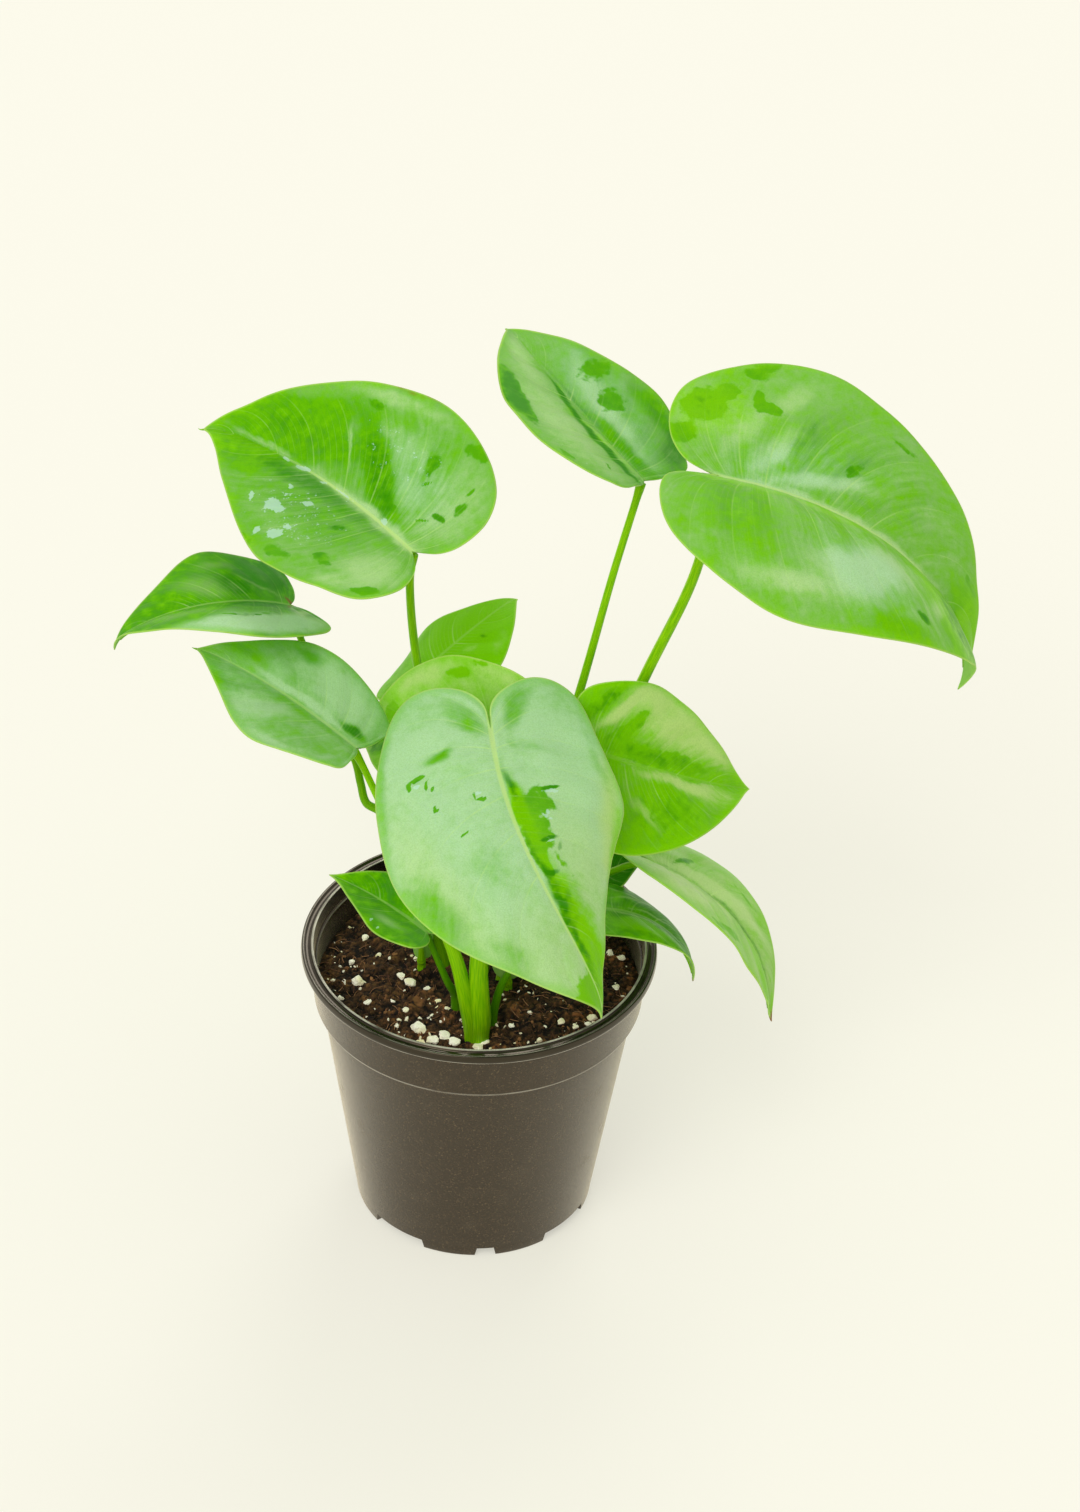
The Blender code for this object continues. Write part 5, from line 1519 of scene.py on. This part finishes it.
def make_hair(leaf, finish):
    """The dry hair that the drip tip ends in on a few leaves."""
    along = np.array([0.985, 0.995, 1.0]) * leaf.length
    places, up = bent(leaf, along, 0 * along)
    onward = unit(places[-1] - places[-2])
    side = np.cross(onward, up[-1])
    run = np.linspace(0, HAIRS[leaf.name], 8)[:, None]
    path = places[-2] + run * onward + HAIR_BEND * run**2 * (0.8 * side - 0.5 * up[-1])
    return tube("hair", path, np.linspace(*HAIR_RADII, len(run)), finish)


def joined(first, others):
    """One object from several; points that lack one of the numbers get 0."""
    with bpy.context.temp_override(active_object=first, selected_editable_objects=[first, *others]):
        bpy.ops.object.join()
    return first


print("of the leaves", len(HAIRS), "end in a dry hair")

# %% [markdown]
# ### Waxy green
#
# The blade's colour is mixed from its paint. The painted sheen lightens it towards mint, and deep
# paint darkens it, partly as painted shade. The real sheen is faint, yellowish and a little uneven.
# Side veins and the midrib show as fine pale lines, with finer ones between them, and the margin is
# a thin yellowish line. The underside is paler and matt. Some light goes through the thin sheet,
# which subsurface scattering gives in the closed mesh.

# %% Pale lines
VEIN_KINDS = ((1.0, 0.42, 0.34), (6.0, 0.25, 0.10))  # how many to a vein, half width in mm, strength


def vein_lines(tree, kept, repeat, half_width):
    """1 on a vein and 0 away from it; repeat draws that many finer veins to each one."""
    count = add(tree, MATH, TIMES_PLUS, kept["vein"], repeat, 0.5)
    place = add(tree, MATH, {"operation": "FRACT"}, count)
    off = add(tree, MATH, {"operation": "ABSOLUTE"}, add(tree, MATH, MINUS, place, 0.5))
    gap = add(tree, MATH, {"operation": "DIVIDE"}, kept["vein_gap"], repeat)
    return add(tree, RANGE, SMOOTH, add(tree, MATH, TIMES, off, gap), half_width, 0.25 * half_width)


def pale_lines(tree, where, kept, wet):
    """How strongly the side veins and those between show, and how strongly any line does."""
    faint = add(tree, RANGE, SMOOTH, add(tree, NOISE, {}, where, 0.07 / MM, 2), 0.3, 0.6)
    for cover, share, start in ((kept["out"], -1.0, 1.15), (wet, -0.6, 1.0)):
        faint = add(tree, MATH, TIMES, faint, add(tree, MATH, TIMES_PLUS, cover, share, start))
    kinds = []
    for repeat, half_width, share in VEIN_KINDS:
        veins = vein_lines(tree, kept, repeat, half_width)
        kinds.append(add(tree, MATH, TIMES, veins, add(tree, MATH, TIMES, faint, share)))
    main, between = kinds
    slimmer = add(tree, MATH, TIMES_PLUS, kept["tipward"], -1.15, 1.6)
    off = add(tree, MATH, {"operation": "DIVIDE"}, kept["from_rib"], slimmer)
    rib = add(tree, MATH, TIMES, add(tree, RANGE, SMOOTH, off, 0.75, 0.25), kept["rib"])
    return between, add(tree, MATH, LARGEST, add(tree, MATH, LARGEST, main, between), rib)


print("main and finer veins are", [2 * kind[1] for kind in VEIN_KINDS], "mm wide")

# %% Broken paint
BLADE_NUMBERS = ("vein", "vein_gap", "out", "side", "from_rib", "from_edge", "tipward", "underside",
                 *KINDS)
LINE_STRETCH = 1.0  # the streaks follow the count of veins, so their scale is in veins


def broken_paint(tree, where, kept, coarse):
    """Amounts of painted sheen, deeper green and painted shade, fresh and sheenless patches, edges broken
    by noise.
    """
    cloud = add(tree, NOISE, {}, where, 0.09 / MM, 5)
    by_veins = add(tree, COMBINE, {}, add(tree, MATH, TIMES, kept["vein"], 1.5), kept["out"], kept["side"])
    streak = add(tree, NOISE, {}, by_veins, LINE_STRETCH, 5.0, 0.6)
    wander = add(tree, MATH, TIMES_PLUS, cloud, 3.0, add(tree, MATH, TIMES, kept["vein"], 7.0))
    thread_way = add(tree, COMBINE, {}, wander, add(tree, MATH, TIMES, kept["out"], 2.2), kept["side"])
    hairs = add(tree, NOISE, {}, thread_way, LINE_STRETCH, 4.0)
    soft = -0.555  # half the shares of the three noises below whose middle is 0.5
    for layer, share in ((streak, 0.5), (cloud, 0.45), (coarse, 0.42), (hairs, 0.16)):
        soft = add(tree, MATH, TIMES_PLUS, layer, share, soft)
    # threads: fine pale streaks of painted sheen along the veins, which also thin the deep paint
    threads = add(tree, MATH, TIMES, add(tree, MATH, MINUS, hairs, 0.52), kept["streaks"])
    border = add(tree, MATH, TIMES_PLUS, cloud, 3.0, kept["from_edge"])
    border = add(tree, RANGE, SMOOTH, border, 4.8, 1.8)
    # sheenless patches: crisp deeper green where the painted sheen is left out, on wet places and round
    # drops
    wet = add(tree, RANGE, SMOOTH, add(tree, MATH, PLUS, kept["wet"], coarse), 0.34, 0.66)
    ragged = add(tree, MATH, TIMES, kept["deep"], add(tree, MATH, TIMES_PLUS, coarse, 0.8, 1.0))
    shade = add(tree, MATH, TIMES_PLUS, threads, -0.25, add(tree, MATH, PLUS, ragged, soft))
    # deep green: partly the leaf's own, partly painted shade on folds
    deep = add(tree, RANGE, SMOOTH, shade, 0.05, 0.95)
    deep = add(tree, MATH, LARGEST, deep, add(tree, MATH, TIMES, wet, 0.18))
    # painted sheen: pale mint painted into the colour where the soft boxes' glare would lie
    sheen_amount = add(tree, MATH, TIMES_PLUS, threads, 0.5, add(tree, MATH, PLUS, kept["wax"], soft))
    wax = add(tree, RANGE, SMOOTH, sheen_amount, 0.0, 0.95)
    for cover, share in ((wet, -0.97), (border, -0.45), (deep, -0.5)):
        wax = add(tree, MATH, TIMES, wax, add(tree, MATH, TIMES_PLUS, cover, share, 1.0))
    youth = add(tree, MATH, TIMES_PLUS, border, 0.25, kept["fresh"])
    fresh = add(tree, RANGE, SMOOTH, add(tree, MATH, MINUS, youth, soft), 0.05, 0.95)
    return wax, deep, fresh, wet


print("the blade's finish reads", len(BLADE_NUMBERS), "numbers at each point")

# %% The finish of the blades
LEAF_SPECULAR_TINT = srgb("E8FF80")


def waxy_blade():
    """A living leaf: green, a painted mint sheen, a faint real yellowish sheen, and a little light let
    through.
    """
    finish, tree, shader, where = new_finish("waxy_green_blade", 0.36)
    kept = {name: add(tree, ATTRIBUTE, {"attribute_name": name}, out="Fac") for name in BLADE_NUMBERS}
    mottle, fine, dots = [add(tree, NOISE, {}, where, grains_per_mm / MM, detail)
                          for grains_per_mm, detail in ((0.33, 6), (2.4, 3), (1.1, 3))]
    coarse = add(tree, MATH, TIMES_PLUS, mottle, 1.4, -0.7)
    wax, deep, fresh, wet = broken_paint(tree, where, kept, coarse)
    between, lines = pale_lines(tree, where, kept, wet)
    # the colour of the painted sheen
    mint = add(tree, MIX, COLOURS, kept["cool"], srgb("BAD880"), srgb("AED6A0"))
    grain = add(tree, RANGE, SMOOTH, fine, 0.35, 0.75)
    edge = add(tree, RANGE, SMOOTH, kept["from_edge"], 0.6, 0.1)
    # painted glints on drops and films of water, with the pale marks they leave
    spray = add(tree, MATH, TIMES_PLUS, coarse, 0.6, add(tree, MATH, PLUS, kept["splash"], dots))
    splash = add(tree, RANGE, SMOOTH, spray, 0.88, 1.05)
    colour = add(tree, MIX, COLOURS, fresh, srgb("56AA02"), srgb("7ECA00"))
    # the deep green is partly painted shade, the mint is painted sheen, the splash colour painted glint and
    # water mark
    layers = ((deep, 1.0, srgb("348A00")), (wax, 1.0, mint), (grain, 0.2, srgb("3F9604")),
              (lines, 1.0, srgb("BDE284")), (edge, 0.5, srgb("C4E070")),
              (kept["underside"], 0.6, srgb("9ED06A")), (splash, 0.65, srgb("BCE0CA")),
              (kept["brown"], 1.0, srgb("8A5A2E")))
    for patch, share, tone in layers:
        amount = patch if share == 1.0 else add(tree, MATH, TIMES, patch, share)
        colour = add(tree, MIX, COLOURS, amount, colour, tone)
    roughness = add(tree, MATH, TIMES_PLUS, mottle, 0.2, 0.24)
    roughness = add(tree, MATH, TIMES_PLUS, kept["underside"], 0.25, roughness)
    relief = add(tree, MATH, TIMES_PLUS, between, -4.0, add(tree, MATH, TIMES, fine, 0.6))
    bump = add(tree, BUMP, {}, Height=relief, Distance=0.12 * MM, Strength=0.6)
    fill(tree, shader, Base_Color=colour, Roughness=roughness, Specular_IOR_Level=0.06,
         Specular_Tint=LEAF_SPECULAR_TINT, Subsurface_Weight=0.15, Subsurface_Radius=(0.6, 1.0, 0.12),
         Subsurface_Scale=1.0 * MM, Normal=bump)
    return finish


blade_finish = waxy_blade()
print("the blade's finish has", len(blade_finish.node_tree.nodes), "nodes")

# %% The finish of the stalks
def green_stalk():
    """A smooth living stalk: bright green, fine streaks along it, a painted highlight down one side, a
    moist sheen.
    """
    finish, tree, shader, _ = new_finish("smooth_green_stalk", 0.4)
    run, turn, dark = [add(tree, ATTRIBUTE, {"attribute_name": name}, out="Fac")
                       for name in ("run_way", "round_way", "deep")]
    round_it, along_it = add(tree, MATH, TIMES, turn, 3.0), add(tree, MATH, TIMES, run, 0.05)
    streak = add(tree, NOISE, {}, add(tree, COMBINE, {}, round_it, along_it), 2.6, 3.0)
    light = add(tree, RANGE, SMOOTH, streak, 0.3, 0.7)
    colour = add(tree, MIX, COLOURS, light, srgb("66AC00"), srgb("92CA06"))
    # painted highlight: a pale line down one side of the stalk
    pale = add(tree, MATH, TIMES, add(tree, RANGE, SMOOTH, turn, 0.86, 0.97), 0.4)
    colour = add(tree, MIX, COLOURS, pale, colour, srgb("C4E064"))
    # dark stalks: a deeper green, partly painted shade
    colour = add(tree, MIX, COLOURS, dark, colour, srgb("3A7C00"))
    bump = add(tree, BUMP, {}, Height=streak, Distance=0.2 * MM, Strength=0.5)
    fill(tree, shader, Base_Color=colour, Specular_IOR_Level=0.2, Specular_Tint=LEAF_SPECULAR_TINT,
         Subsurface_Weight=0.2, Subsurface_Radius=(0.6, 1.0, 0.15), Subsurface_Scale=1.5 * MM, Normal=bump)
    return finish


stalk_finish = green_stalk()
print("the stalk's finish has", len(stalk_finish.node_tree.nodes), "nodes")

# %% Make the leaves
for leaf in LEAVES:
    blade = make_blade(leaf, blade_finish)
    tubes = [make_stalk(leaf, stalk_finish), make_midrib(leaf, stalk_finish)]
    if leaf.name in HAIRS:
        tubes.append(make_hair(leaf, stalk_finish))
    piece = joined(blade, tubes)
    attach(piece, "root")
    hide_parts(leaf.name)
    print(leaf.name, "has", triangles(piece), "triangles")
